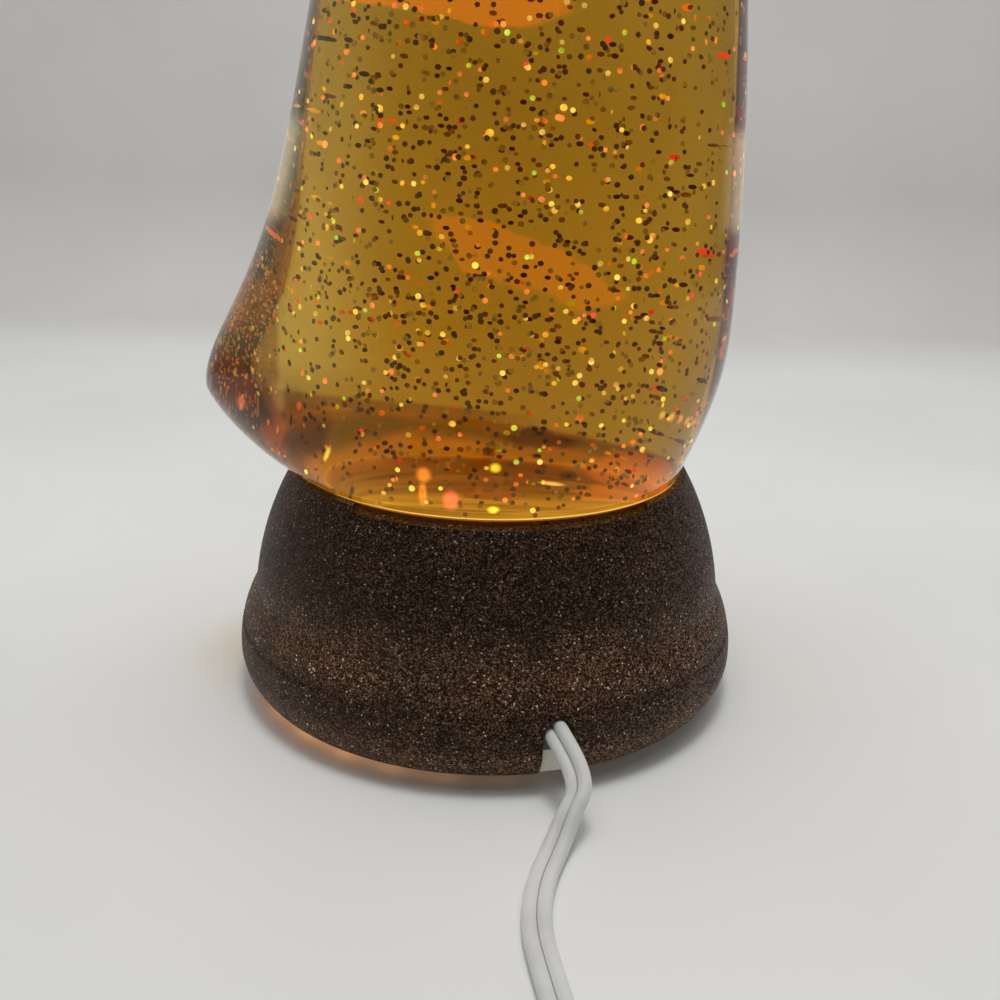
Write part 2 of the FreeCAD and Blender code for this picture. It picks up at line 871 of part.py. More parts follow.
def flake(middle, turn, play):
    outwards = FreeCAD.Vector(math.cos(turn), math.sin(turn), 0)
    thickness = value("flake_thickness") + 2 * play
    return Part.makeCylinder(value("flake_radius") + play, thickness,
                             middle - outwards * (thickness / 2), outwards)


def make_closure():
    body = new_body("vessel_plate")
    section = new_sketch(body, "closure_section", "XZ_Plane")
    pin_bottom = "foot_bottom + closure_thickness / 2"
    outline(section, [
        ("0", "foot_bottom"),
        ("foot_radius - vessel_wall - fit_gap", "foot_bottom"),
        ("foot_radius - vessel_wall - fit_gap", closure_top),
        ("pin_boss_radius", closure_top),
        ("pin_boss_radius", f"{closure_top} + pin_boss_height"),
        ("pin_radius", f"{closure_top} + pin_boss_height"),
        ("pin_radius", pin_bottom),
        ("0", pin_bottom),
    ])
    revolve(body, "closure_turned", section)
    filler = new_sketch(body, "filler_circle", lift=closure_top)
    circle(filler, "plug_offset", "0", "plug_radius + fit_gap")
    doc.recompute()
    pocket(body, "filler_hole", filler, "closure_thickness + overlap")

    stem = cylinder("plug_stem", "plug_radius", "closure_thickness + overlap - fit_gap",
                    "plug_offset", "0", "foot_bottom - overlap")
    flange = cylinder("plug_disc", "plug_flange", "flange_thickness - fit_gap",
                      "plug_offset", "0", "foot_bottom - flange_thickness")
    keep("fill_plug", fuse("plug_fused", [stem, flange]))

    wheel_bottom = f"{closure_top} + pin_boss_height + free_gap"
    cap_bottom = f"{wheel_bottom} + wheel_height + free_gap"
    pin_length = f"{cap_bottom} + cap_thickness + fit_gap - ({pin_bottom})"
    keep("stirrer_pin", cylinder("pin_rod", "pin_radius", pin_length, z=pin_bottom))
    cap = cylinder("cap_disc", "cap_radius", "cap_thickness", z=cap_bottom)
    cap_hole = cylinder("cap_hole", "pin_radius", "cap_thickness", z=cap_bottom)
    keep("pin_cap", cut("cap_cut", cap, cap_hole))
    make_wheel(wheel_bottom)


# Stirrer wheel: a disc with four blades, a hub that turns on the pin, and two magnets

def make_wheel(bottom):
    disc = cylinder("wheel_disc_round", "wheel_radius", "wheel_disc", z=bottom)
    hub = cylinder("wheel_hub", "hub_radius", "wheel_height", z=bottom)
    across = "wheel_radius * 2 - blade_thickness"
    height = "wheel_height - wheel_disc / 2"
    blade_z = f"{bottom} + wheel_disc / 2"
    blades = [
        block("wheel_blade_x", across, "blade_thickness", height, "0", "0", blade_z),
        block("wheel_blade_y", "blade_thickness", across, height, "0", "0", blade_z),
    ]
    solid = fuse("wheel_solid", [disc, hub] + blades)
    bore = cylinder("wheel_bore", "pin_radius + running_gap", "wheel_height", z=bottom)
    holes = [bore]
    magnets = []
    pocket_height = "stirrer_magnet_height + fit_gap / 2"
    for index, angle in enumerate((45, 225)):
        x, y = polar("magnet_offset", angle)
        holes.append(cylinder(f"wheel_pocket_{index}", "stirrer_magnet_radius + fit_gap / 2",
                              pocket_height, x, y, bottom))
        magnets.append(cylinder(f"stirrer_magnet_{index}", "stirrer_magnet_radius",
                                "stirrer_magnet_height", x, y, bottom))
    keep("stirrer_wheel", cut("wheel_cut", solid, fuse("wheel_holes", holes)))
    keep("stirrer_magnets", group("stirrer_magnet_pair", magnets))


# Motor, its bracket, and the magnet carrier on its shaft

can_bottom = "bracket_height - motor_height"
carrier_bottom = "bracket_height + sheet_metal + carrier_lift"


def make_motor():
    can = cylinder("can_round", "motor_radius", "motor_height", z=can_bottom)
    flats = block("can_flats", "motor_flat * 2", "motor_radius * 2", "motor_height",
                  "0", "0", can_bottom)
    body = doc.addObject("Part::Common", "can_common")
    body.Base, body.Tool = can, flats
    spigot = cylinder("can_spigot", "hub_radius - fit_gap", "sheet_metal", z="bracket_height")
    tail = cylinder("can_tail", "hub_radius", "tail_height + overlap",
                    z=f"{can_bottom} - tail_height")
    solid = fuse("can_solid", [body, spigot, tail])
    holes = [cylinder("can_bore", "shaft_radius + running_gap", "motor_height",
                      z=f"{can_bottom} + shaft_seat")]
    for index, side in enumerate((-1, 1)):
        holes.append(cylinder(f"can_tap_{index}", "small_screw_radius + running_gap",
                              "motor_screw_depth", "0", f"{side} * motor_screw_offset",
                              "bracket_height - motor_screw_depth"))
    keep("motor_can", cut("can_cut", solid, fuse("can_holes", holes)))
    tags = [block(f"terminal_{index}", "terminal_width", "terminal_gauge", "terminal_length",
                  f"{side} * terminal_offset", "0",
                  f"{can_bottom} - terminal_length - fit_gap")
            for index, side in enumerate((-1, 1))]
    keep("motor_terminals", group("terminal_pair", tags))

    shaft_bottom = f"{can_bottom} + shaft_seat + free_gap"
    keep("motor_shaft", cylinder("shaft_rod", "shaft_radius",
                                 f"{carrier_bottom} + shaft_reach - ({shaft_bottom})",
                                 z=shaft_bottom))
    carrier = cylinder("carrier_disc", "wheel_radius", "carrier_height", z=carrier_bottom)
    magnet_z = f"{carrier_bottom} + carrier_height - drive_magnet_height"
    holes = [cylinder("carrier_bore", "shaft_radius", "carrier_height", z=carrier_bottom)]
    magnets = []
    for index, angle in enumerate((45, 225)):
        x, y = polar("magnet_offset", angle)
        holes.append(cylinder(f"carrier_pocket_{index}", "drive_magnet_radius + fit_gap / 2",
                              "drive_magnet_height + overlap", x, y,
                              f"{magnet_z} - fit_gap / 2"))
        magnets.append(cylinder(f"drive_magnet_{index}", "drive_magnet_radius",
                                "drive_magnet_height", x, y, magnet_z))
    keep("magnet_carrier", cut("carrier_cut", carrier, fuse("carrier_holes", holes)))
    keep("drive_magnets", group("drive_magnet_pair", magnets))


def make_bracket():
    body = new_body("motor_bracket")
    profile = new_sketch(body, "bracket_profile", "YZ_Plane", "-bracket_width / 2")
    outer_leg = "bracket_leg + sheet_metal"
    low, high = "board_post_height", "bracket_height"
    outline(profile, [
        ("-bracket_foot", low),
        ("-bracket_leg", low),
        ("-bracket_leg", high),
        ("bracket_leg", high),
        ("bracket_leg", low),
        ("bracket_foot", low),
        ("bracket_foot", f"{low} + sheet_metal"),
        (outer_leg, f"{low} + sheet_metal"),
        (outer_leg, f"{high} + sheet_metal"),
        (f"-({outer_leg})", f"{high} + sheet_metal"),
        (f"-({outer_leg})", f"{low} + sheet_metal"),
        ("-bracket_foot", f"{low} + sheet_metal"),
    ])
    pad(body, "bracket_strip", profile, "bracket_width")
    holes = new_sketch(body, "bracket_holes", lift=f"{high} + sheet_metal")
    circle(holes, "0", "0", "hub_radius")
    for offset in ("motor_screw_offset", "bracket_screw_offset"):
        for sign in ("", "-"):
            circle(holes, "0", sign + offset, "small_screw_radius + fit_gap")
    doc.recompute()
    pocket(body, "bracket_hole", holes, "bracket_height")


# Lamp board, lamps and reflector

def make_lamps():
    body = new_body("led_board")
    ring = new_sketch(body, "board_outline", lift="board_height")
    circle(ring, "0", "0", "board_outer")
    circle(ring, "0", "0", "board_inner")
    for angle in (0, 120, 240):
        circle(ring, *polar("led_post_offset", angle), "small_screw_radius + fit_gap")
    pad(body, "board_plate", ring, "board_thickness")

    board_top = "board_height + board_thickness"
    lamps = []
    for index in range(6):
        x, y = polar("lamp_offset", 30 + 60 * index)
        collar = cylinder(f"lamp_rim_{index}", "lamp_collar", "collar_height",
                          x, y, board_top)
        barrel = cylinder(f"lamp_barrel_{index}", "lamp_radius", "barrel_height",
                          x, y, board_top)
        dome = doc.addObject("Part::Sphere", f"lamp_dome_{index}")
        bind(dome, "Radius", "lamp_radius")
        place(dome, x, y, f"{board_top} + barrel_height")
        lamps.append(fuse(f"lamp_{index}", [collar, barrel, dome]))
    keep("led_lamps", group("lamp_set", lamps))

    body = new_body("reflector")
    cone = new_sketch(body, "reflector_section", "XZ_Plane")
    foot = f"{board_top} + fit_gap"
    lip = "foot_bottom - fit_gap"
    outline(cone, [
        ("reflector_foot", foot),
        ("reflector_foot + reflector_wall", foot),
        ("reflector_lip + reflector_wall", lip),
        ("reflector_lip", lip),
    ])
    revolve(body, "reflector_turned", cone)


# Supply board with its parts

def make_driver():
    x = driver_post_x
    plate = block("driver_plate", "driver_width", "driver_length", "board_thickness",
                  x, "0", "board_post_height")
    holes = [cylinder(f"driver_hole_{index}", "small_screw_radius + fit_gap",
                      "board_thickness", post_x, post_y, "board_post_height")
             for index, (post_x, post_y) in enumerate(board_post_places()[:2])]
    keep("driver_board", cut("driver_cut", plate, fuse("driver_holes", holes)))
    top = "board_post_height + board_thickness"
    round_x = f"{x} + round_part_x"
    parts = [
        block("transformer", "transformer_length", "transformer_width",
              "transformer_height", x, "0", top),
        cylinder("capacitor", "capacitor_radius", "capacitor_height",
                 round_x, "round_part_y", top),
        cylinder("fuse_link", "fuse_radius", "fuse_height", round_x, "-round_part_y", top),
    ]
    keep("driver_parts", group("driver_part_set", parts))


# Clamp bar over the cord

def turned_block(name, length, width, height, ring, z):
    # a box across the cord's way out, centred at this distance from the axis
    thing = block(name, length, width, height, "0", f"-({ring})", z)
    holder = group(name + "_turned", [thing])
    return place(holder, turn="cord_angle")


def make_clamp():
    bar = turned_block("clamp_bar", "clamp_length", "clamp_width", "clamp_thickness",
                       "clamp_offset", "saddle_top + fit_gap")
    holes, screws = [], []
    for index, (x, y) in enumerate(clamp_screw_places()):
        holes.append(cylinder(f"clamp_hole_{index}", "small_screw_radius + fit_gap",
                              "clamp_thickness", x, y, "saddle_top + fit_gap"))
        screws.append(screw(f"clamp_screw_{index}", x, y,
                            "saddle_top + fit_gap + clamp_thickness",
                            "clamp_thickness + small_screw_length * thread_share", small=True))
    keep("cord_clamp", cut("clamp_cut", bar, fuse("clamp_holes", holes)))
    keep("clamp_screws", group("clamp_screw_pair", screws))


# Cords and wires: straight runs joined by tangent arcs

def rounded_path(points, share=0.45):
    spots = [FreeCAD.Vector(*point) for point in points]
    edges, radii, length = [], [], 0.0
    last = spots[0]
    for before, corner, after in zip(spots, spots[1:], spots[2:]):
        inward = (corner - before).normalize()
        outward = (after - corner).normalize()
        setback = share * min((corner - before).Length, (after - corner).Length)
        turn = inward.getAngle(outward)
        radius = setback / math.tan(turn / 2)
        start, end = corner - inward * setback, corner + outward * setback
        bulge = (outward - inward).normalize()
        centre = corner + bulge * (radius / math.cos(turn / 2))
        middle = centre - bulge * radius
        if (start - last).Length > 1e-6:
            edges.append(Part.LineSegment(last, start).toShape())
        edges.append(Part.Arc(start, middle, end).toShape())
        radii.append(radius)
        last = end
    edges.append(Part.LineSegment(last, spots[-1]).toShape())
    wire = Part.Wire(edges)
    return wire, radii


def tube(wire, radius):
    start = wire.OrderedEdges[0]
    point = start.valueAt(start.FirstParameter)
    along = start.tangentAt(start.FirstParameter)
    ring = Part.Wire([Part.Circle(point, along, radius).toShape()])
    solid = wire.makePipeShell([ring], True, False)
    return solid


def cord(name, points, radius):
    wire, radii = rounded_path(points)
    solid = tube(wire, radius)
    expected = math.pi * radius * radius * wire.Length
    print(f"{name}: length {wire.Length:.1f}, smallest radius {min(radii):.1f}, "
          f"volume over section times length {solid.Volume / expected:.4f}")
    return solid, wire


# Inner wires, made whole along the way they are led

def inner_wires(name, routes):
    solids = [cord(f"{name} {index}", route, value("wire_radius"))[0]
              for index, route in enumerate(routes)]
    keep_shape(name, Part.makeCompound(solids))


def make_wires():
    # between the cord's cores in the clamp and the supply board's far corner
    ring = value("clamp_offset - clamp_width / 2 - overlap - free_gap")
    angle = math.radians(value("cord_angle"))
    level = value("cord_level")
    side = value("wire_radius + fit_gap")
    across = (math.cos(angle), math.sin(angle))
    starts = [(ring * math.sin(angle) + turn * side * across[0],
               -ring * math.cos(angle) + turn * side * across[1], level)
              for turn in (-1, 1)]
    on_board = value("board_post_height + board_thickness + wire_radius + fit_gap")
    inner_wires("supply_wires", [
        [starts[0], (8.4, -34.4, level + 0.5), (0.6, -33.6, level + 1.6),
         (-8.0, -33.2, level + 1.9), (-17.6, -32.6, level + 1.9),
         (-25.2, -25.6, level + 1.8), (-29.2, -19.0, on_board + 0.3),
         (-30.1, -12.8, on_board)],
        [starts[1], (9.6, -32.0, level + 0.5), (0.8, -31.5, level + 1.7),
         (-8.0, -31.0, level + 1.9), (-16.6, -30.6, level + 1.9),
         (-23.6, -24.4, level + 1.8), (-27.0, -18.6, on_board + 0.3),
         (-27.9, -12.8, on_board)],
    ])
    # the motor's wires pass between its can and the plate
    tag = value(f"{can_bottom} - terminal_length / 2 - fit_gap")
    under = value(f"({plate_top} + {can_bottom} - tail_height) / 2")
    inner_wires("motor_wires", [
        [(-24.5, -1.5, on_board), (-19.6, -1.4, on_board + 0.4), (-15.2, -0.9, tag + 0.4),
         (-11.4, -0.3, tag - 0.5), (-7.4, 0, tag)],
        [(-24.5, -4.2, on_board), (-19.4, -4.7, on_board + 0.2), (-14.4, -5.9, under + 1.3),
         (-8.5, -6.9, under + 0.2), (-2.4, -7.3, under), (3.2, -6.4, under + 0.3),
         (6.0, -3.8, under + 1.1), (6.0, -0.6, tag - 0.3)],
    ])
    board = value("board_height - fit_gap / 2")
    inner_wires("led_wires", [
        [(-24.5, y, on_board), (-21.2, y + 0.6, 16.5), (-20.4, y + 1, 24.0),
         (-21.0, y + 0.6, 31.0), (-22.0, y, board - 0.1)]
        for y in (3.0, 5.6)
    ])


# Flexible cord: out through the clamp and the notch, down to the table, over it in a
# loose bend and up into the switch. These points are where its corners are.

cord_on_table = "cord_radius + fit_gap / 2"


def power_cord_points():
    ring = value("clamp_offset - clamp_width / 2 - overlap")
    angle = math.radians(value("cord_angle"))
    level = value("cord_level")
    table = value(cord_on_table)
    switch_end = value("switch_y + switch_length / 2 + fit_gap")
    return [
        (ring * math.sin(angle), -ring * math.cos(angle), level),
        (12.6, -46.2, level),
        (14.0, -54.8, 14.3),
        (19.1, -64.5, 8.8),
        (16.3, -68.5, 5.0),
        (13.9, -73.3, table),
        (10.8, -82.5, table),
        (9.9, -92.5, table),
        (11.6, -102.0, table),
        (13.6, -111.5, table),
        (16.0, -120.0, 3.8),
        (value("switch_x"), -125.8, 6.1),
        (value("switch_x"), switch_end, value("switch_height / 2")),
    ]


# Coil: the turns run clockwise, in towards the middle on one layer and out again on the
# next, and climb a layer in the half turn where they turn back

def coil_place(turn):
    per_layer = value("coil_turns / coil_layers")
    layers = round(value("coil_layers"))
    layer = min(int(turn / per_layer), layers - 1)
    share = turn / per_layer - layer
    inwards = share if layer % 2 == 0 else 1 - share
    span = value("coil_pitch") * per_layer
    radius = value("coil_mean_radius") + span / 2 - span * inwards
    height = value(cord_on_table)
    climb = value("coil_climb")
    for change in range(1, layers):
        risen = (turn - per_layer * change) / climb + 0.5
        height += value("coil_layer_step") * min(1.0, max(0.0, risen))
    angle = -math.pi / 2 - 2 * math.pi * turn
    return FreeCAD.Vector(value("coil_x") + radius * math.cos(angle),
                          value("coil_y") + radius * math.sin(angle), height)


def bulge(start, tangent, end):
    # the middle of the arc that leaves start along the tangent
    chord = end - start
    half_turn = tangent.getAngle(chord)
    side = (tangent - chord * (tangent.dot(chord) / chord.dot(chord))).normalize()
    return (start + end) * 0.5 + side * (chord.Length / 2 * math.tan(half_turn / 2))


def biarc(start, tangent, end, end_tangent):
    # two arcs that share a tangent where they meet
    gap = end - start
    spread = 2 * (1 - tangent.dot(end_tangent))
    along = gap.dot(tangent + end_tangent)
    reach = (math.sqrt(along * along + spread * gap.dot(gap)) - along) / spread
    joint = (start + end + (tangent - end_tangent) * reach) * 0.5
    return [
        Part.Arc(start, bulge(start, tangent, joint), joint).toShape(),
        Part.Arc(joint, bulge(end, end_tangent * -1, joint), end).toShape(),
    ]


def coil_edges():
    turns = value("coil_turns")
    steps = round(turns * 4)
    nearby = 0.01
    places, tangents = [], []
    for step in range(steps + 1):
        turn = turns * step / steps
        ahead = coil_place(min(turns, turn + nearby))
        behind = coil_place(max(0, turn - nearby))
        places.append(coil_place(turn))
        tangents.append((ahead - behind).normalize())
    # both leads meet the coil as it heads towards -X
    tangents[0] = tangents[-1] = FreeCAD.Vector(-1, 0, 0)
    edges = []
    for index in range(steps):
        edges += biarc(places[index], tangents[index], places[index + 1], tangents[index + 1])
    return edges


def coil_gap():
    # least distance between the surfaces of turns, on points of the coil
    turns = value("coil_turns")
    per_turn = 48
    count = round(turns * per_turn)
    points = [coil_place(turns * index / count) for index in range(count + 1)]
    least = min((points[one] - points[two]).Length
                for one in range(count)
                for two in range(one + per_turn // 2, count + 1))
    return least - 2 * value("cord_radius")


def make_cord():
    solid, wire = cord("power_cord", power_cord_points(), value("cord_radius"))
    keep_shape("power_cord", solid)
    near_length = wire.Length

    table = value(cord_on_table)
    switch_x, switch_end = value("switch_x"), value("switch_y - switch_length / 2 - fit_gap")
    first, last = coil_place(0), coil_place(value("coil_turns"))
    lead_in, radii_in = rounded_path([
        (switch_x, switch_end, value("switch_height / 2")),
        (switch_x + 0.1, switch_end - 6.5, 5.2),
        (13.6, switch_end - 15.0, 2.2),
        (5.0, switch_end - 20.5, table),
        (-7.0, switch_end - 19.5, table),
        (-19.5, first.y, table),
        (first.x, first.y, first.z),
    ])
    lead_out, radii_out = rounded_path([
        (last.x, last.y, last.z),
        (-41.0, last.y, last.z),
        (-52.0, last.y - 1.8, 12.0),
        (-63.0, last.y - 1.3, 9.2),
        (-72.5, last.y + 4.0, 7.2),
        (-79.0, last.y + 12.4, 6.6),
        (value("plug_x"), value("plug_y - fit_gap"), value("plug_height / 2")),
    ])
    wire = Part.Wire(lead_in.OrderedEdges + coil_edges() + lead_out.OrderedEdges)
    solid = tube(wire, value("cord_radius"))
    expected = math.pi * value("cord_radius") ** 2 * wire.Length
    print(f"cord_coil: length {wire.Length:.1f}, smallest lead radius "
          f"{min(radii_in + radii_out):.1f}, gap between turns {coil_gap():.2f}, "
          f"volume over section times length {solid.Volume / expected:.4f}")
    keep_shape("cord_coil", solid)
    whole = near_length + value("switch_length") + wire.Length
    print(f"whole cord, clamp to plug: {whole:.0f}")


# Outlines and rounded rims that the plug and the switch share

def rounded_rectangle(sketch, half_x, half_y, radius):
    bow = f"-({radius})"
    near_x, near_y = f"{half_x} - ({radius})", f"{half_y} - ({radius})"
    outline(sketch, [
        (near_x, f"-({half_y})"),
        (half_x, f"-({near_y})", bow),
        (half_x, near_y),
        (near_x, half_y, bow),
        (f"-({near_x})", half_y),
        (f"-({half_x})", near_y, bow),
        (f"-({half_x})", f"-({near_y})"),
        (f"-({near_x})", f"-({half_y})", bow),
    ])


def round_rims(body, name, radius, levels):
    # round the edges that lie in these levels
    base = body.Tip
    names = []
    for index, edge in enumerate(base.Shape.Edges, start=1):
        box = edge.BoundBox
        for level in levels:
            if abs(box.ZMin - value(level)) < 1e-6 and abs(box.ZMax - value(level)) < 1e-6:
                names.append(f"Edge{index}")
    fillet = body.newObject("PartDesign::Fillet", name)
    fillet.Base = (base, names)
    bind(fillet, "Radius", radius)


# Plug: a moulded body with a tapered neck, grip grooves and two blades, on the table

def make_plug():
    # the neck starts at plug_y and widens along +Y
    middle = "plug_height / 2"
    neck = doc.addObject("Part::Cone", "plug_neck_cone")
    bind(neck, "Radius1", "neck_start")
    bind(neck, "Radius2", "neck_end")
    bind(neck, "Height", "plug_neck + overlap")
    neck.Placement = FreeCAD.Placement(
        FreeCAD.Vector(0, 0, 0),
        FreeCAD.Rotation(FreeCAD.Vector(1, 0, 0), -90),
    )
    bind(neck, "Placement.Base.x", "plug_x")
    bind(neck, "Placement.Base.y", "plug_y")
    bind(neck, "Placement.Base.z", middle)

    body_y = "plug_y + plug_neck + plug_length / 2"
    block_body = doc.addObject("PartDesign::Body", "plug_block")
    face = new_sketch(block_body, "plug_outline")
    rounded_rectangle(face, "plug_width / 2", "plug_length / 2", "plug_corner")
    pad(block_body, "plug_pad", face, "plug_height")
    doc.recompute()
    round_rims(block_body, "plug_edges", "plug_edge", ("0", "plug_height"))
    place(block_body, "plug_x", body_y, "0")

    slabs = [block(f"grip_slab_{index}", "plug_width * 2", "grip_width", "plug_height * 2",
                   "plug_x", f"{body_y} - grip_step * {index}", "-plug_height / 2")
             for index in range(3)]
    core = block("grip_core", "plug_width - 2 * grip_depth", "plug_length",
                 "plug_height - 2 * grip_depth", "plug_x", body_y, "grip_depth")
    tools = [cut("grip_grooves", fuse("grip_slabs", slabs), core)]

    blade_y = "plug_y + plug_neck + plug_length + blade_length / 2 - blade_root / 2"
    blades = []
    for index, side in enumerate((-1, 1)):
        blade_x = f"plug_x + {side} * blade_spacing / 2"
        blades.append(block(f"plug_blade_{index}", "blade_gauge",
                            "blade_length + blade_root", "blade_width",
                            blade_x, blade_y, f"{middle} - blade_width / 2"))
        tools.append(block(f"blade_slot_{index}", "blade_gauge + fit_gap",
                           "blade_length + blade_root + fit_gap", "blade_width + fit_gap",
                           blade_x, blade_y, f"{middle} - blade_width / 2 - fit_gap / 2"))
    solid = fuse("plug_fused_body", [neck, block_body])
    keep("plug_body", cut("plug_cut", solid, fuse("plug_tools", tools)))
    keep("plug_blades", group("blade_pair", blades))


# In-line switch: two half housings held by two screws, contacts, and a rocker on its
# own pins

def make_switch():
    split = "switch_height / 2"
    half_x, half_y = "switch_width / 2", "switch_length / 2"
    screw_places = [(f"switch_x + {side} * switch_screw_x", f"switch_y - {side} * switch_screw_y")
                    for side in (-1, 1)]
    seat = "switch_screw_sink + small_head_height"

    lower = doc.addObject("PartDesign::Body", "switch_lower")
    face = new_sketch(lower, "lower_outline", lift="fit_gap")
    rounded_rectangle(face, half_x, half_y, "switch_round")
    pad(lower, "lower_pad", face, f"{split} - fit_gap * 3 / 2")
    room = new_sketch(lower, "contact_room", lift=split)
    rounded_rectangle(room, "contact_room_width / 2", "contact_room_length / 2",
                      "window_round")
    doc.recompute()
    pocket(lower, "contact_pocket", room, f"{split} - shell_wall")
    place(lower, "switch_x", "switch_y", "0")
    tools = []
    for index, (x, y) in enumerate(screw_places):
        tools.append(cylinder(f"lower_bore_{index}", "small_screw_radius + fit_gap",
                              "switch_height", x, y, "0"))
        tools.append(cylinder(f"lower_sink_{index}", "small_head_radius + fit_gap",
                              seat, x, y, "0"))
    keep("switch_base", cut("lower_cut", lower, fuse("lower_tools", tools)))

    upper = doc.addObject("PartDesign::Body", "switch_upper")
    face = new_sketch(upper, "upper_outline", lift=split)
    rounded_rectangle(face, half_x, half_y, "switch_round")
    pad(upper, "upper_pad", face, split)
    doc.recompute()
    round_rims(upper, "upper_edges", "cover_round", ("switch_height",))
    window = new_sketch(upper, "rocker_window", lift="switch_height")
    rounded_rectangle(window, "rocker_width / 2 + free_gap",
                      "rocker_half_length + rocker_end_room", "window_round")
    doc.recompute()
    pocket(upper, "rocker_well", window, f"{split} + overlap")
    place(upper, "switch_x", "switch_y", "0")
    bore_length = "rocker_width + 2 * (rocker_pin_reach + fit_gap)"
    tools = [cross_cylinder("rocker_bore", "rocker_pin_radius + running_gap", bore_length,
                            f"switch_x - ({bore_length}) / 2", "switch_y", "rocker_pivot")]
    screws = []
    grip = "small_screw_length * thread_share"
    for index, (x, y) in enumerate(screw_places):
        tools.append(cylinder(f"upper_bore_{index}", "small_screw_radius + running_gap",
                              "small_screw_length", x, y, split))
        screws.append(screw(f"switch_screw_{index}", x, y, seat,
                            f"{split} + {grip} - ({seat})", small=True, upward=True))
    keep("switch_cover", cut("upper_cut", upper, fuse("upper_tools", tools)))
    keep("switch_screws", group("switch_screw_pair", screws))

    floor = "shell_wall + fit_gap"
    strips = [block(f"contact_{index}", "contact_width", "contact_length", "contact_gauge",
                    "switch_x", f"switch_y + {side} * contact_offset", floor)
              for index, side in enumerate((-1, 1))]
    strips.append(block("contact_fulcrum", "contact_width", "fulcrum_length",
                        "fulcrum_height", "switch_x", "switch_y", floor))
    keep("switch_contacts", group("contact_set", strips))
    make_rocker()


def make_rocker():
    # tilted to its end stop, on
    body = new_body("switch_rocker")
    face = new_sketch(body, "rocker_outline", "YZ_Plane", "-rocker_width / 2")
    length = "rocker_half_length"
    outline(face, [
        ("-rocker_belly_length", "-rocker_belly"),
        ("rocker_belly_length", "-rocker_belly"),
        (length, "rocker_shoulder"),
        (length, "rocker_end_height"),
        ("0", "rocker_middle_height", "rocker_hollow"),
        (f"-{length}", "rocker_end_height", "rocker_hollow"),
        (f"-{length}", "rocker_shoulder"),
    ])
    pad(body, "rocker_bar", face, "rocker_width")
    pins = new_sketch(body, "rocker_pins", "YZ_Plane",
                      "-rocker_width / 2 - rocker_pin_reach")
    circle(pins, "0", "0", "rocker_pin_radius")
    pad(body, "rocker_pin", pins, "rocker_width + 2 * rocker_pin_reach")
    body.Placement = FreeCAD.Placement(
        FreeCAD.Vector(0, 0, 0),
        FreeCAD.Rotation(FreeCAD.Vector(1, 0, 0), value("rocker_tilt")),
    )
    bind(body, "Placement.Rotation.Angle", "rocker_tilt")
    bind(body, "Placement.Base.x", "switch_x")
    bind(body, "Placement.Base.y", "switch_y")
    bind(body, "Placement.Base.z", "rocker_pivot")


# Everything is built and checked before any file is written

def check_all():
    for thing in doc.Objects:
        if "Invalid" in thing.State or "Error" in thing.State:
            raise RuntimeError(f"{thing.Name} did not compute")
    for name, thing in nodes.items():
        if thing.Shape.isNull() or not thing.Shape.isValid():
            raise RuntimeError(f"{name} has no sound shape")
        print(f"{name}: {len(thing.Shape.Solids)} solids, {thing.Shape.Volume / 1000:.2f} cm3")


make_base_shell()
make_bottom_plate()
make_feet()
make_screws()
make_seat_ring()
make_vessel()
make_closure()
make_motor()
make_bracket()
make_lamps()
make_driver()
make_clamp()
make_wires()
make_cord()
make_plug()
make_switch()
doc.recompute()
check_all()
os.makedirs("parts", exist_ok=True)
for name, thing in nodes.items():
    thing.Shape.exportStep(f"parts/{name}.step")
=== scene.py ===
import math
import random

import bmesh
import bpy
from mathutils import Matrix, Vector


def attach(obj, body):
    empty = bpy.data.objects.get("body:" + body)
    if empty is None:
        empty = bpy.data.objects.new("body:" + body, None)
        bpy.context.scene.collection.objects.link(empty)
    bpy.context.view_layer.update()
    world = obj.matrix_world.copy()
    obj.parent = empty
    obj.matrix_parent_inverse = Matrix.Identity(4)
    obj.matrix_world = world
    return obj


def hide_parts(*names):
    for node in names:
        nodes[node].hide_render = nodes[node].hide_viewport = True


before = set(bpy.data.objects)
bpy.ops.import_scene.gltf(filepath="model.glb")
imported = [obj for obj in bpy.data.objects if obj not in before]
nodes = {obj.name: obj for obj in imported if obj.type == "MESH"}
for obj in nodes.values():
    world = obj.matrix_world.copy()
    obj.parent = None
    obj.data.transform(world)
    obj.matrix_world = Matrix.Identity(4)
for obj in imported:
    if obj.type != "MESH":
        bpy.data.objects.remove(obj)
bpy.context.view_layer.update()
scene = bpy.context.scene
scene.view_settings.view_transform = "Standard"
print("frame loaded")

# ---- camera, at the photograph's viewing angle

cameraView = {
    "place": (0.00254, -0.2197, 0.1136),
    "pitchDown": 18.31,
    "roll": 1.62,
    "lens": 36.0,
    "sensor": 36.0,
}


def makeCamera():
    data = bpy.data.cameras.new("photoCamera")
    data.lens = cameraView["lens"]
    data.sensor_width = cameraView["sensor"]
    data.clip_start = 0.01
    camera = bpy.data.objects.new("photoCamera", data)
    tilt = Matrix.Rotation(math.radians(90 - cameraView["pitchDown"]), 4, "X")
    roll = Matrix.Rotation(math.radians(cameraView["roll"]), 4, "Z")
    camera.matrix_world = Matrix.Translation(cameraView["place"]) @ tilt @ roll
    scene.collection.objects.link(camera)
    scene.camera = camera


makeCamera()

# ---- helpers for pieces and materials


def addPiece(name, mesh, body, slotName, material, *replaced):
    piece = bpy.data.objects.new(name, mesh)
    scene.collection.objects.link(piece)
    mesh.materials.clear()
    mesh.materials.append(material)
    if body:
        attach(piece, body)
    if replaced:
        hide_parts(*replaced)
    return piece


def meshFrom(bm, name):
    mesh = bpy.data.meshes.new(name)
    bm.to_mesh(mesh)
    bm.free()
    mesh.shade_smooth()
    return mesh


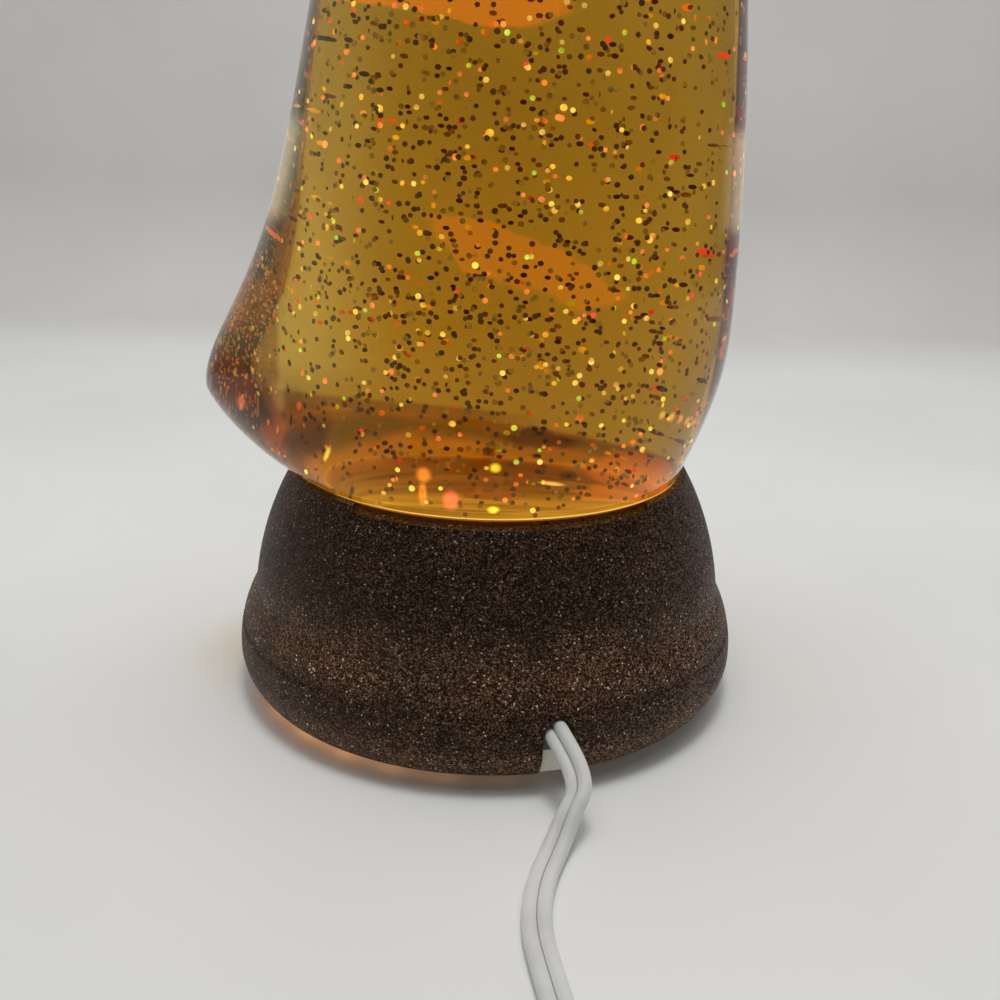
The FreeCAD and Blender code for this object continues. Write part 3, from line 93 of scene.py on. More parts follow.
def newMaterial(name, **sockets):
    material = bpy.data.materials.new(name)
    material.use_nodes = True
    shader = material.node_tree.nodes["Principled BSDF"]
    for socket, amount in sockets.items():
        shader.inputs[socket.replace("_", " ")].default_value = amount
    return material, material.node_tree, shader


def addNode(tree, kind, place=(0, 0), **settings):
    node = tree.nodes.new(kind)
    node.location = place
    for key, amount in settings.items():
        if hasattr(node, key):
            setattr(node, key, amount)
        else:
            node.inputs[key.replace("_", " ")].default_value = amount
    return node


def vectorMath(tree, operation, *sources):
    # each source is a socket or a plain vector
    node = addNode(tree, "ShaderNodeVectorMath", (-700, -300), operation=operation)
    for socket, source in zip(node.inputs, sources):
        if isinstance(source, tuple):
            socket.default_value = source
        else:
            tree.links.new(source, socket)
    return node


def newGroup(name, inputs, outputs):
    # inputs and outputs: name of the socket, its kind
    group = bpy.data.node_groups.new(name, "ShaderNodeTree")
    for way, sockets in (("INPUT", inputs), ("OUTPUT", outputs)):
        for socket, kind in sockets.items():
            group.interface.new_socket(socket, in_out=way, socket_type="NodeSocket" + kind)
    entry = addNode(group, "NodeGroupInput", (-900, 0))
    leave = addNode(group, "NodeGroupOutput", (500, 0))
    return group, entry, leave


def ramp(tree, source, stops, place=(0, 0)):
    node = addNode(tree, "ShaderNodeValToRGB", place)
    elements = node.color_ramp.elements
    while len(elements) < len(stops):
        elements.new(0.5)
    for element, (position, colour) in zip(elements, stops):
        element.position = position
        element.color = (*colour, 1)
    tree.links.new(source, node.inputs["Fac"])
    return node.outputs["Color"]


def objectPlace(tree):
    return addNode(tree, "ShaderNodeTexCoord", (-1500, 0)).outputs["Object"]


def objectAxes(tree):
    place = objectPlace(tree)
    axes = addNode(tree, "ShaderNodeSeparateXYZ", (-1300, 0))
    tree.links.new(place, axes.inputs["Vector"])
    return place, axes


def noiseAt(tree, place, scale, detail):
    node = addNode(tree, "ShaderNodeTexNoise", (-600, 0), Scale=scale, Detail=detail)
    tree.links.new(place, node.inputs["Vector"])
    return node.outputs["Fac"]


def addBump(tree, shader, height, strength, distance):
    bump = addNode(tree, "ShaderNodeBump", (-200, -250), Strength=strength, Distance=distance)
    tree.links.new(height, bump.inputs["Height"])
    tree.links.new(bump.outputs["Normal"], shader.inputs["Normal"])


def addEmission(tree, shader, colour, strength):
    tree.links.new(colour, shader.inputs["Emission Color"])
    shader.inputs["Emission Strength"].default_value = strength


def fade(tree, source, fromValue, toValue, full=1.0):
    # full at fromValue, nothing at toValue
    node = addNode(tree, "ShaderNodeMapRange", (-1000, 0), interpolation_type="SMOOTHSTEP",
                   From_Min=fromValue, From_Max=toValue, To_Min=full, To_Max=0.0)
    tree.links.new(source, node.inputs["Value"])
    return node.outputs["Result"]


def times(tree, first, second):
    node = addNode(tree, "ShaderNodeMath", (-800, 0), operation="MULTIPLY")
    for socket, source in zip(node.inputs, (first, second)):
        tree.links.new(source, socket)
    return node.outputs["Value"]


def blendColour(tree, mask, low, high, kind="MIX"):
    # low and high are colours or sockets
    node = addNode(tree, "ShaderNodeMix", (-500, 0), data_type="RGBA", blend_type=kind)
    if mask is None:
        node.inputs[0].default_value = 1.0
    else:
        tree.links.new(mask, node.inputs[0])
    for socket, source in ((node.inputs[6], low), (node.inputs[7], high)):
        if isinstance(source, tuple):
            socket.default_value = (*source, 1)
        else:
            tree.links.new(source, socket)
    return node.outputs[2]


# ---- flexible cord: the route's own corner points

cordFacts = {
    "width": 0.0050,
    "thickness": 0.0026,
    "restHeight": 0.00135,
    "layerStep": 0.0041,
    "lobePoints": 13,
    "lobeStart": -156,
    "lobeStep": 26,
}
onTable = cordFacts["restHeight"]

nearRoute = [
    (0.00996, -0.03667, 0.0109),
    (0.0126, -0.0462, 0.0109),
    (0.0140, -0.0548, 0.0143),
    (0.0191, -0.0645, 0.0088),
    (0.0163, -0.0685, 0.0050),
    (0.0139, -0.0733, onTable),
    (0.0108, -0.0825, onTable),
    (0.0099, -0.0925, onTable),
    (0.0116, -0.1020, onTable),
    (0.0136, -0.1115, onTable),
    (0.0160, -0.1200, 0.0033),
    (0.0170, -0.1258, 0.0059),
    (0.0170, -0.1309, 0.0065),
]
# twist along the way: distance from the clamp, degrees
nearTurns = [(0, -42), (0.024, -42), (0.041, -3), (0.055, 0)]

coilFacts = {
    "centre": (-0.031, -0.166),
    "meanRadius": 0.0274,
    "turns": 9,
    "layers": 4,
    "pitch": 0.0054,
    "climb": 0.5,
    "pointsPerTurn": 16,
}


def coilPoint(turn):
    perLayer = coilFacts["turns"] / coilFacts["layers"]
    layer = min(int(turn / perLayer), coilFacts["layers"] - 1)
    share = turn / perLayer - layer
    inwards = share if layer % 2 == 0 else 1 - share
    span = coilFacts["pitch"] * perLayer
    radius = coilFacts["meanRadius"] + span / 2 - span * inwards
    # the smooth line runs inside its corner points by this share
    radius /= (3 + math.cos(2 * math.pi / coilFacts["pointsPerTurn"])) / 4
    height = onTable
    for change in range(1, coilFacts["layers"]):
        risen = (turn - perLayer * change) / coilFacts["climb"] + 0.5
        height += cordFacts["layerStep"] * min(1, max(0, risen))
    angle = -math.pi / 2 - 2 * math.pi * turn
    centre = coilFacts["centre"]
    return (centre[0] + radius * math.cos(angle), centre[1] + radius * math.sin(angle), height)


coilBottom = coilPoint(0)[1]
coilTop = coilPoint(coilFacts["turns"])[2]
farRoute = [
    (0.0170, -0.1851, 0.0065),
    (0.0171, -0.1916, 0.0047),
    (0.0136, -0.2001, 0.0017),
    (0.0050, -0.2056, onTable),
    (-0.0070, -0.2046, onTable),
    (-0.0195, coilBottom, onTable),
]
farRoute += [
    coilPoint(step / coilFacts["pointsPerTurn"])
    for step in range(coilFacts["turns"] * coilFacts["pointsPerTurn"] + 1)
]
farRoute += [
    (-0.0410, coilBottom, coilTop),
    (-0.0520, -0.2013, 0.0120),
    (-0.0630, -0.2008, 0.0092),
    (-0.0725, -0.1955, 0.0072),
    (-0.0790, -0.1871, 0.0066),
    (-0.0800, -0.1776, 0.0065),
]


def nurbsLine(name, route):
    curve = bpy.data.curves.new(name, "CURVE")
    curve.dimensions = "3D"
    curve.resolution_u = 6
    spline = curve.splines.new("NURBS")
    spline.points.add(len(route) - 1)
    for point, place in zip(spline.points, route):
        point.co = (*place, 1)
    spline.order_u = 3
    spline.use_endpoint_u = True
    return curve


def linePoints(curve):
    line = bpy.data.objects.new("lineOnly", curve)
    mesh = bpy.data.meshes.new_from_object(line)
    points = [vertex.co.copy() for vertex in mesh.vertices]
    bpy.data.objects.remove(line)
    bpy.data.meshes.remove(mesh)
    return points


def twinSection():
    # two round cores side by side, joined by a thinner web
    halfWidth, halfHeight = cordFacts["width"] / 2, cordFacts["thickness"] / 2
    lobeCentre = halfWidth - halfHeight
    outline = []
    for step in range(cordFacts["lobePoints"]):
        angle = math.radians(cordFacts["lobeStart"] + cordFacts["lobeStep"] * step)
        outline.append((lobeCentre + halfHeight * math.cos(angle), halfHeight * math.sin(angle)))
    outline += [(-x, -y) for x, y in outline]
    return outline


def makeCord(name, route, turns, material, replaced):
    # the flat cord's section follows the line, lying flat; turns give its twist along the way
    points = linePoints(nurbsLine(name, route))
    section = twinSection()
    bm = bmesh.new()
    layer = bm.verts.layers.int.new("corner")
    groove = bm.verts.layers.float.new("groove")
    ring = [bm.verts.new((x, y, 0)) for x, y in section]
    edges = [bm.edges.new((ring[i - 1], ring[i])) for i in range(len(ring))]
    for index, vertex in enumerate(ring):
        vertex[layer] = index
        beside = index % cordFacts["lobePoints"] in (0, cordFacts["lobePoints"] - 1)
        vertex[groove] = 1.0 if beside else 0.0
    firstRing = list(edges)
    travelled = 0.0
    for index, point in enumerate(points):
        before, after = points[max(0, index - 1)], points[min(len(points) - 1, index + 1)]
        along = (after - before).normalized()
        across = along.cross(Vector((0, 0, 1))).normalized()
        upward = across.cross(along)
        if index:
            travelled += (point - points[index - 1]).length
            grown = bmesh.ops.extrude_edge_only(bm, edges=edges)
            edges = [item for item in grown["geom"] if isinstance(item, bmesh.types.BMEdge)]
        twist = math.radians(turnAt(turns, travelled))
        placed = set(vertex for edge in edges for vertex in edge.verts)
        for vertex in placed:
            x, y = section[vertex[layer]]
            sideways = x * math.cos(twist) - y * math.sin(twist)
            raised = x * math.sin(twist) + y * math.cos(twist)
            vertex.co = point + across * sideways + upward * raised
    bmesh.ops.contextual_create(bm, geom=edges)
    bmesh.ops.contextual_create(bm, geom=firstRing)
    bmesh.ops.recalc_face_normals(bm, faces=bm.faces)
    piece = addPiece(name, meshFrom(bm, name), "lamp", "white_flex", material, replaced)
    return piece, [tuple(point) for point in points]


def turnAt(turns, travelled):
    # straight between the (distance, degrees) pairs
    before = turns[0]
    for after in turns[1:]:
        if travelled <= after[0]:
            share = (travelled - before[0]) / (after[0] - before[0])
            return before[1] + (after[1] - before[1]) * share
        before = after
    return before[1]


def lineLength(points):
    return sum((Vector(b) - Vector(a)).length for a, b in zip(points, points[1:]))


flexFacts = {
    "softness": 0.05,
    "softRadius": (0.002, 0.0018, 0.0015),
    "smudgeScale": 90.0,
    "smudge": [(0.3, (0.62, 0.63, 0.61)), (0.62, (0.75, 0.76, 0.74))],
    # painted shade in the groove between the cores
    "grooveShadeTone": (0.16, 0.16, 0.15),
    "grooveReach": 0.45,
    "grooveShare": 0.75,
    "grainScale": 1400.0,
    "grainStrength": 0.08,
    "grainDepth": 0.0003,
}


def flexMaterial():
    facts = flexFacts
    material, tree, shader = newMaterial("whiteFlex", Roughness=0.42, IOR=1.5)
    shader.inputs["Subsurface Weight"].default_value = facts["softness"]
    shader.inputs["Subsurface Radius"].default_value = facts["softRadius"]
    place = objectPlace(tree)
    tone = ramp(tree, noiseAt(tree, place, facts["smudgeScale"], 4.0), facts["smudge"], (-350, 0))
    # painted shade: the groove between the two cores is darkened
    groove = addNode(tree, "ShaderNodeAttribute", (-600, 250), attribute_name="groove")
    grooveShade = fade(tree, groove.outputs["Fac"], 1.0, facts["grooveReach"], facts["grooveShare"])
    tone = blendColour(tree, grooveShade, tone, facts["grooveShadeTone"])
    tree.links.new(tone, shader.inputs["Base Color"])
    fine = noiseAt(tree, place, facts["grainScale"], 2.0)
    addBump(tree, shader, fine, facts["grainStrength"], facts["grainDepth"])
    return material


whiteFlex = flexMaterial()
nearCord, nearLine = makeCord("nearCord", nearRoute, nearTurns, whiteFlex, "power_cord")
farCord, farLine = makeCord("farCord", farRoute, [(0, 0), (2, 0)], whiteFlex, "cord_coil")
print("cords made", round(lineLength(nearLine), 3), round(lineLength(farLine), 3))

# ---- floor and wall

stageFacts = {
    "floorFront": -1.2,
    "wallAt": 0.64,
    "halfWidth": 1.3,
    "wallHeight": 1.1,
    "coveRadius": 0.10,
    "coveSteps": 16,
    "cloudScale": 6.0,
    "cloud": [(0.35, (0.790, 0.800, 0.783)), (0.7, (0.850, 0.860, 0.843))],
    "wallPaintedShade": (0.89, 0.865, 0.855),
    # painted shade: the far floor and the wall are darker; it comes in between these distances
    "shadeFull": 0.56,
    "shadeNone": 0.36,
}


def makeStage():
    bm = bmesh.new()
    made = bmesh.ops.create_grid(bm, x_segments=1, y_segments=1, size=1.0)
    for vertex in made["verts"]:
        front = vertex.co.y < 0
        vertex.co.x *= stageFacts["halfWidth"]
        vertex.co.y = stageFacts["floorFront"] if front else stageFacts["wallAt"]
    bm.edges.ensure_lookup_table()
    backEdge = max(bm.edges, key=lambda edge: sum(vertex.co.y for vertex in edge.verts))
    grown = bmesh.ops.extrude_edge_only(bm, edges=[backEdge])
    raised = [item for item in grown["geom"] if isinstance(item, bmesh.types.BMVert)]
    bmesh.ops.translate(bm, verts=raised, vec=(0, 0, stageFacts["wallHeight"]))
    bmesh.ops.bevel(bm, geom=[backEdge], offset=stageFacts["coveRadius"],
                    segments=stageFacts["coveSteps"], profile=0.5, affect="EDGES", material=-1)
    material, tree, shader = newMaterial("paleTable", Roughness=0.55)
    shader.inputs["Specular IOR Level"].default_value = 0.25
    place, axes = objectAxes(tree)
    cloud = noiseAt(tree, place, stageFacts["cloudScale"], 3.0)
    tone = ramp(tree, cloud, stageFacts["cloud"], (-350, 0))
    # painted shade, darker towards the back
    far = fade(tree, axes.outputs["Y"], stageFacts["shadeFull"], stageFacts["shadeNone"])
    tone = blendColour(tree, far, tone, stageFacts["wallPaintedShade"], "MULTIPLY")
    tree.links.new(tone, shader.inputs["Base Color"])
    addPiece("floorAndWall", meshFrom(bm, "floorAndWall"), None, None, material)


makeStage()

# ---- light: a soft box overhead, a smaller one, two at the sides, and a dim room around

# boxes: place, aim, size, power, colour, other size
lightFacts = {
    "room": (0.30, 0.30, 0.31),
    "roomStrength": 0.32,
    "softTop": ((0.0, 0.05, 0.95), (0, 0.05, 0), 1.1, 4.2, (1, 1, 1), 0.9),
    "nearTop": ((0.03, -0.05, 0.95), (0, 0, 0), 0.26, 2.5),
    "sideWall": ((0, -0.04, 0.05), 1.0, 1.0, (1, 0.99, 0.97), 0.7),
    "sideWallPlace": (0.78, 0.14, 0.36),
}


def areaLight(name, place, aim, size, power, colour=(1, 1, 1), sizeY=None):
    data = bpy.data.lights.new(name, "AREA")
    data.shape = "RECTANGLE" if sizeY else "DISK"
    data.size = size
    if sizeY:
        data.size_y = sizeY
    data.energy = power
    data.color = colour
    light = bpy.data.objects.new(name, data)
    light.location = place
    light.rotation_euler = (Vector(aim) - Vector(place)).to_track_quat("-Z", "Y").to_euler()
    scene.collection.objects.link(light)
    return light


def makeLight():
    world = bpy.data.worlds.new("room")
    world.use_nodes = True
    background = world.node_tree.nodes["Background"]
    background.inputs["Color"].default_value = (*lightFacts["room"], 1)
    background.inputs["Strength"].default_value = lightFacts["roomStrength"]
    scene.world = world
    areaLight("softTop", *lightFacts["softTop"])
    # a smaller box draws the contact shadows and isn't mirrored in the vessel
    nearTop = areaLight("nearTop", *lightFacts["nearTop"])
    nearTop.visible_glossy = False
    nearTop.visible_transmission = False
    away, back, height = lightFacts["sideWallPlace"]
    for side in (-1, 1):
        wall = areaLight(f"sideWall_{side}", (away * side, back, height), *lightFacts["sideWall"])
        wall.visible_glossy = False


makeLight()

# ---- vessel, liquid and flakes

vesselFacts = {
    "footRadius": 0.0416,
    "footBottom": 0.0460,
    "start": 0.0509,
    "shoulder": 0.0424,
    "halfWidth": 0.0488,
    "halfDepth": 0.0456,
    "wideLevel": 0.0800,
    "top": 0.2460,
    "crownPower": 1.53,
    "lean": 0.055,
    "wideCentre": 0.0020,
    "tailReach": 0.0170,
    "tailLevel": 0.0670,
    "tailFade": 0.0265,
    "fadePower": 1.5,
    "underPower": 1.25,
    "tailBreadth": 0.62,
    "wall": 0.0021,
    "fillingBottom": 0.04875,
    "segments": 144,
    "lowSteps": 24,
    "highSteps": 64,
}


def tailReach(level):
    start, tip = vesselFacts["start"], vesselFacts["tailLevel"]
    if level < tip:
        share = (tip - level) / (tip - start)
        return vesselFacts["tailReach"] * math.sqrt(max(0, 1 - share ** vesselFacts["underPower"]))
    fade = (level - tip) / vesselFacts["tailFade"]
    return vesselFacts["tailReach"] * math.exp(-(fade ** vesselFacts["fadePower"]))


def vesselPoint(angle, level, inset):
    start, wide, top = vesselFacts["start"], vesselFacts["wideLevel"], vesselFacts["top"] - inset
    shoulder = vesselFacts["shoulder"]
    centre = vesselFacts["wideCentre"]
    if level <= wide:
        share = max(0, (level - start) / (wide - start))
        swell = math.sin(math.pi / 2 * share)
        halfWidth = shoulder + (vesselFacts["halfWidth"] - shoulder) * swell
        halfDepth = shoulder + (vesselFacts["halfDepth"] - shoulder) * swell
        centre *= share
    else:
        share = min(1, (level - wide) / (top - wide))
        closing = math.sqrt(1 - share ** vesselFacts["crownPower"])
        halfWidth = vesselFacts["halfWidth"] * closing
        halfDepth = vesselFacts["halfDepth"] * closing
        centre += vesselFacts["lean"] * (level - wide)
    away = (angle - math.pi) / vesselFacts["tailBreadth"]
    reach = tailReach(level) * math.exp(-away * away)
    x = centre + max(0, halfWidth - inset) * math.cos(angle) - reach
    return Vector((x, max(0, halfDepth - inset) * math.sin(angle), level))


def vesselLevels(inset):
    start, wide, top = vesselFacts["start"], vesselFacts["wideLevel"], vesselFacts["top"] - inset
    low = start + inset / 2
    lowSteps, highSteps = vesselFacts["lowSteps"], vesselFacts["highSteps"]
    levels = []
    for step in range(lowSteps + 1):
        levels.append(low + (wide - low) * (1 - math.cos(math.pi / 2 * step / lowSteps)))
    for step in range(1, highSteps):
        levels.append(wide + (top - wide) * math.sin(math.pi / 2 * step / highSteps))
    return levels


def vesselMesh(name, inset, bottom):
    bm = bmesh.new()
    turnLayer = bm.verts.layers.float.new("turn")
    footRadius = vesselFacts["footRadius"] - inset
    made = bmesh.ops.create_circle(bm, cap_ends=False, segments=vesselFacts["segments"],
                                   radius=footRadius)
    for vertex in made["verts"]:
        vertex[turnLayer] = math.atan2(vertex.co.y, vertex.co.x) % (2 * math.pi)
        vertex.co.z = bottom
    edges = list(bm.edges)
    bottomRing = list(edges)
    levels = vesselLevels(inset)
    for number, level in enumerate([levels[0]] + levels):
        grown = bmesh.ops.extrude_edge_only(bm, edges=edges)
        edges = [item for item in grown["geom"] if isinstance(item, bmesh.types.BMEdge)]
        for vertex in [item for item in grown["geom"] if isinstance(item, bmesh.types.BMVert)]:
            if number:
                vertex.co = vesselPoint(vertex[turnLayer], level, inset)
            else:
                vertex.co.z = level
    bmesh.ops.contextual_create(bm, geom=edges)
    bmesh.ops.contextual_create(bm, geom=bottomRing)
    bmesh.ops.recalc_face_normals(bm, faces=bm.faces)
    return meshFrom(bm, name)


def throughLight(tree, shader):
    # lets light into the vessel without caustics
    output = tree.nodes["Material Output"]
    path = addNode(tree, "ShaderNodeLightPath", (0, 300))
    clear = addNode(tree, "ShaderNodeBsdfTransparent", (0, -300))
    mix = addNode(tree, "ShaderNodeMixShader", (300, 100))
    tree.links.new(path.outputs["Is Shadow Ray"], mix.inputs["Fac"])
    tree.links.new(shader.outputs["BSDF"], mix.inputs[1])
    tree.links.new(clear.outputs["BSDF"], mix.inputs[2])
    tree.links.new(mix.outputs["Shader"], output.inputs["Surface"])


def patchMask(tree, vector, centre, size, tilt, edge):
    # 1 inside an ellipse in the upright plane across the view, 0 outside it
    turned = addNode(tree, "ShaderNodeMapping", (-1200, -300), vector_type="TEXTURE")
    turned.inputs["Location"].default_value = (centre[0], 0, centre[1])
    turned.inputs["Rotation"].default_value = (0, math.radians(tilt), 0)
    turned.inputs["Scale"].default_value = (size[0], 1, size[1])
    tree.links.new(vector, turned.inputs["Vector"])
    flat = vectorMath(tree, "MULTIPLY", turned.outputs["Vector"], (1, 0, 1))
    far = vectorMath(tree, "LENGTH", flat.outputs["Vector"])
    return fade(tree, far.outputs["Value"], 1 - edge, 1.0)


# how far noise moves the edge of a patch, and half of it, which brings it back to the middle
raggedFacts = {
    "scale": 95.0,
    "reach": (0.012, 0.012, 0.009),
    "half": (0.006, 0.006, 0.0045),
}


def raggedPlace(tree, vector):
    # the place moved about by noise, so that a patch has an uneven edge
    cloud = addNode(tree, "ShaderNodeTexNoise", (-1300, -600), Scale=raggedFacts["scale"],
                    Detail=3.0)
    tree.links.new(vector, cloud.inputs["Vector"])
    moved = vectorMath(tree, "MULTIPLY_ADD", cloud.outputs["Color"], raggedFacts["reach"], vector)
    centred = vectorMath(tree, "SUBTRACT", moved.outputs["Vector"], raggedFacts["half"])
    return centred.outputs["Vector"]


def lampGlow():
    # the lamp's light as the liquid shows it: streaks from dark brown to orange
    group, entry, leave = newGroup(
        "lampGlow", {"Scale": "Float", "Stretch": "Vector"}, {"Color": "Color"})
    spread = vectorMath(group, "MULTIPLY", objectPlace(group), entry.outputs["Stretch"])
    cloud = addNode(group, "ShaderNodeTexNoise", (-500, 0), Detail=3.0, Distortion=0.9)
    group.links.new(spread.outputs["Vector"], cloud.inputs["Vector"])
    group.links.new(entry.outputs["Scale"], cloud.inputs["Scale"])
    stops = [(0.34, (0.050, 0.020, 0.0)), (0.46, (0.17, 0.065, 0.0)),
             (0.60, (0.40, 0.160, 0.0)), (0.76, (0.72, 0.33, 0.002))]
    group.links.new(ramp(group, cloud.outputs["Fac"], stops, (-200, 0)), leave.inputs["Color"])
    return group


glowGroup = lampGlow()


def glowColour(tree, scale, stretch):
    glow = addNode(tree, "ShaderNodeGroup", (-900, 300), node_tree=glowGroup, Scale=scale,
                   Stretch=stretch)
    return glow.outputs["Color"]


# a pair of levels or distances: full effect at the first, none at the second
lightInLiquid = {
    "backHalf": (0.004, 0.0),
    "frontHalf": (-0.004, 0.0),
    "bandTop": (0.0580, 0.0592),
    "lineTop": (0.0600, 0.0612),
    "lineAcross": (-0.004, 0.012),
    "lineTint": (0.46, 0.24, 0.12),
    "bandLean": 0.08,
    "bandStrength": 1.0,
    "bandTint": (0.12, 0.09, 0.04),
    "frontFade": (0.0500, 0.0620),
    "frontColour": (0.085, 0.036, 0.004),
    "floorTop": (0.0490, 0.0493),
    "floorScale": 46.0,
    "floorStretch": (0.6, 1.9, 1.0),
    "floorTones": [(0.36, (0.20, 0.085, 0.002)), (0.50, (0.37, 0.20, 0.01)),
                   (0.66, (0.50, 0.28, 0.02))],
    "floorBlend": (0.0500, 0.0555),
    # reach across, colour
    "floorRight": ((0.036, 0.006), (0.52, 0.28, 0.06)),
    "floorLeft": ((-0.036, -0.020), (0.16, 0.085, 0.01)),
    "floorSideShare": 0.85,
    # painted light on the front half: soft glows
    # reach across, reach in height, colour
    "frontGlows": [
        ((0.036, 0.018), (0.0660, 0.0720), (0.030, 0.010, 0.004)),
        ((-0.034, -0.014), (0.0800, 0.0700), (0.045, 0.048, 0.022)),
    ],
    "bandScale": 42.0,
    "bandStretch": (0.8, 0.8, 2.6),
    "tailEdge": (-0.0416, -0.0400),
    "tailSlope": (0.090, 0.150, 0.0154),
    "tailTop": (0.1040, 0.1090),
    "tailTint": (0.38, 0.19, 0.085),
    "tailGlow": (0.018, 0.007, 0.003),
    "upperPatchSlope": (0.130, 0.145, 0.0035),
    "upperPatchEdge": (-0.0374, -0.0362),
    "upperPatchFoot": (0.1270, 0.1200),
    "leafEdge": 0.15,
    "spotEdge": 0.75,
    "shadeEdge": 0.55,
    # light thrown on the back wall: middle (x, z), half size, tilt, colour
    "leaves": [
        ((0.0050, 0.0915), (0.0162, 0.0058), 33.0, (0.28, 0.048, 0.0)),
        ((-0.0095, 0.1450), (0.0230, 0.0048), 7.0, (0.45, 0.08, 0.0)),
        ((0.0200, 0.0500), (0.0070, 0.0060), 0.0, (0.30, 0.050, 0.004)),
    ],
    # glints on the front wall: middle (x, z), half size, tilt, colour
    "spots": [
        ((-0.0066, 0.0543), (0.0021, 0.0027), 0.0, (0.95, 0.10, 0.06)),
        ((-0.0117, 0.0590), (0.0019, 0.0021), 0.0, (0.90, 0.22, 0.02)),
        ((-0.0119, 0.0552), (0.0011, 0.0034), 0.0, (0.80, 0.22, 0.02)),
        ((0.0015, 0.0613), (0.0014, 0.0013), 0.0, (1.0, 0.72, 0.02)),
        ((0.0013, 0.0527), (0.0015, 0.0010), 0.0, (0.80, 0.95, 0.03)),
        ((0.0120, 0.0580), (0.0034, 0.0006), 10.0, (0.75, 0.45, 0.08)),
        ((-0.0310, 0.0600), (0.0007, 0.0026), 24.0, (0.85, 0.60, 0.04)),
        ((0.0325, 0.0698), (0.0009, 0.0012), 20.0, (0.50, 0.28, 0.04)),
        ((0.0346, 0.0690), (0.0009, 0.0013), 20.0, (0.62, 0.26, 0.04)),
        ((0.0366, 0.0681), (0.0009, 0.0013), 20.0, (0.62, 0.21, 0.04)),
        ((0.0384, 0.0672), (0.0008, 0.0013), 20.0, (0.58, 0.18, 0.05)),
        ((0.0400, 0.0663), (0.0007, 0.0012), 20.0, (0.50, 0.16, 0.05)),
        ((-0.0412, 0.0700), (0.0024, 0.0044), -6.0, (0.13, 0.070, 0.024)),
        ((-0.0505, 0.0668), (0.0014, 0.0022), 20.0, (0.45, 0.10, 0.03)),
    ],
    # painted shade behind the front wall, darker patches: middle (x, z), half size, tilt, tint
    "shades": [
        ((0.0100, 0.0668), (0.0105, 0.0026), 5.0, (0.24, 0.15, 0.06)),
        ((0.0141, 0.0593), (0.0030, 0.0010), 4.0, (0.20, 0.16, 0.12)),
        ((-0.0365, 0.0640), (0.0085, 0.0095), 0.0, (0.22, 0.15, 0.09)),
    ],
}


def addLight(tree, total, mask, colour):
    return blendColour(tree, mask, total, colour, "ADD")


def leaningAcross(tree, axes, slope):
    # the place across the view, shifted in step with height
    low, high, shift = slope
    leaning = addNode(tree, "ShaderNodeMapRange", (-1000, -500), From_Min=low, From_Max=high,
                      To_Max=shift)
    tree.links.new(axes.outputs["Z"], leaning.inputs["Value"])
    across = addNode(tree, "ShaderNodeMath", (-800, -500), operation="SUBTRACT")
    tree.links.new(axes.outputs["X"], across.inputs[0])
    tree.links.new(leaning.outputs["Result"], across.inputs[1])
    return across.outputs["Value"]


def floorLight(tree, vector, axes):
    # the lit plate under the filling, from brown at the left to salmon at the right
    facts = lightInLiquid
    spread = vectorMath(tree, "MULTIPLY", vector, facts["floorStretch"])
    cloud = addNode(tree, "ShaderNodeTexNoise", (-1000, 700), Scale=facts["floorScale"],
                    Detail=3.0, Distortion=0.6)
    tree.links.new(spread.outputs["Vector"], cloud.inputs["Vector"])
    tone = ramp(tree, cloud.outputs["Fac"], facts["floorTones"], (-700, 700))
    for side in ("floorRight", "floorLeft"):
        reach, colour = facts[side]
        mask = fade(tree, axes.outputs["X"], *reach, facts["floorSideShare"])
        tone = blendColour(tree, mask, tone, colour)
    return tone


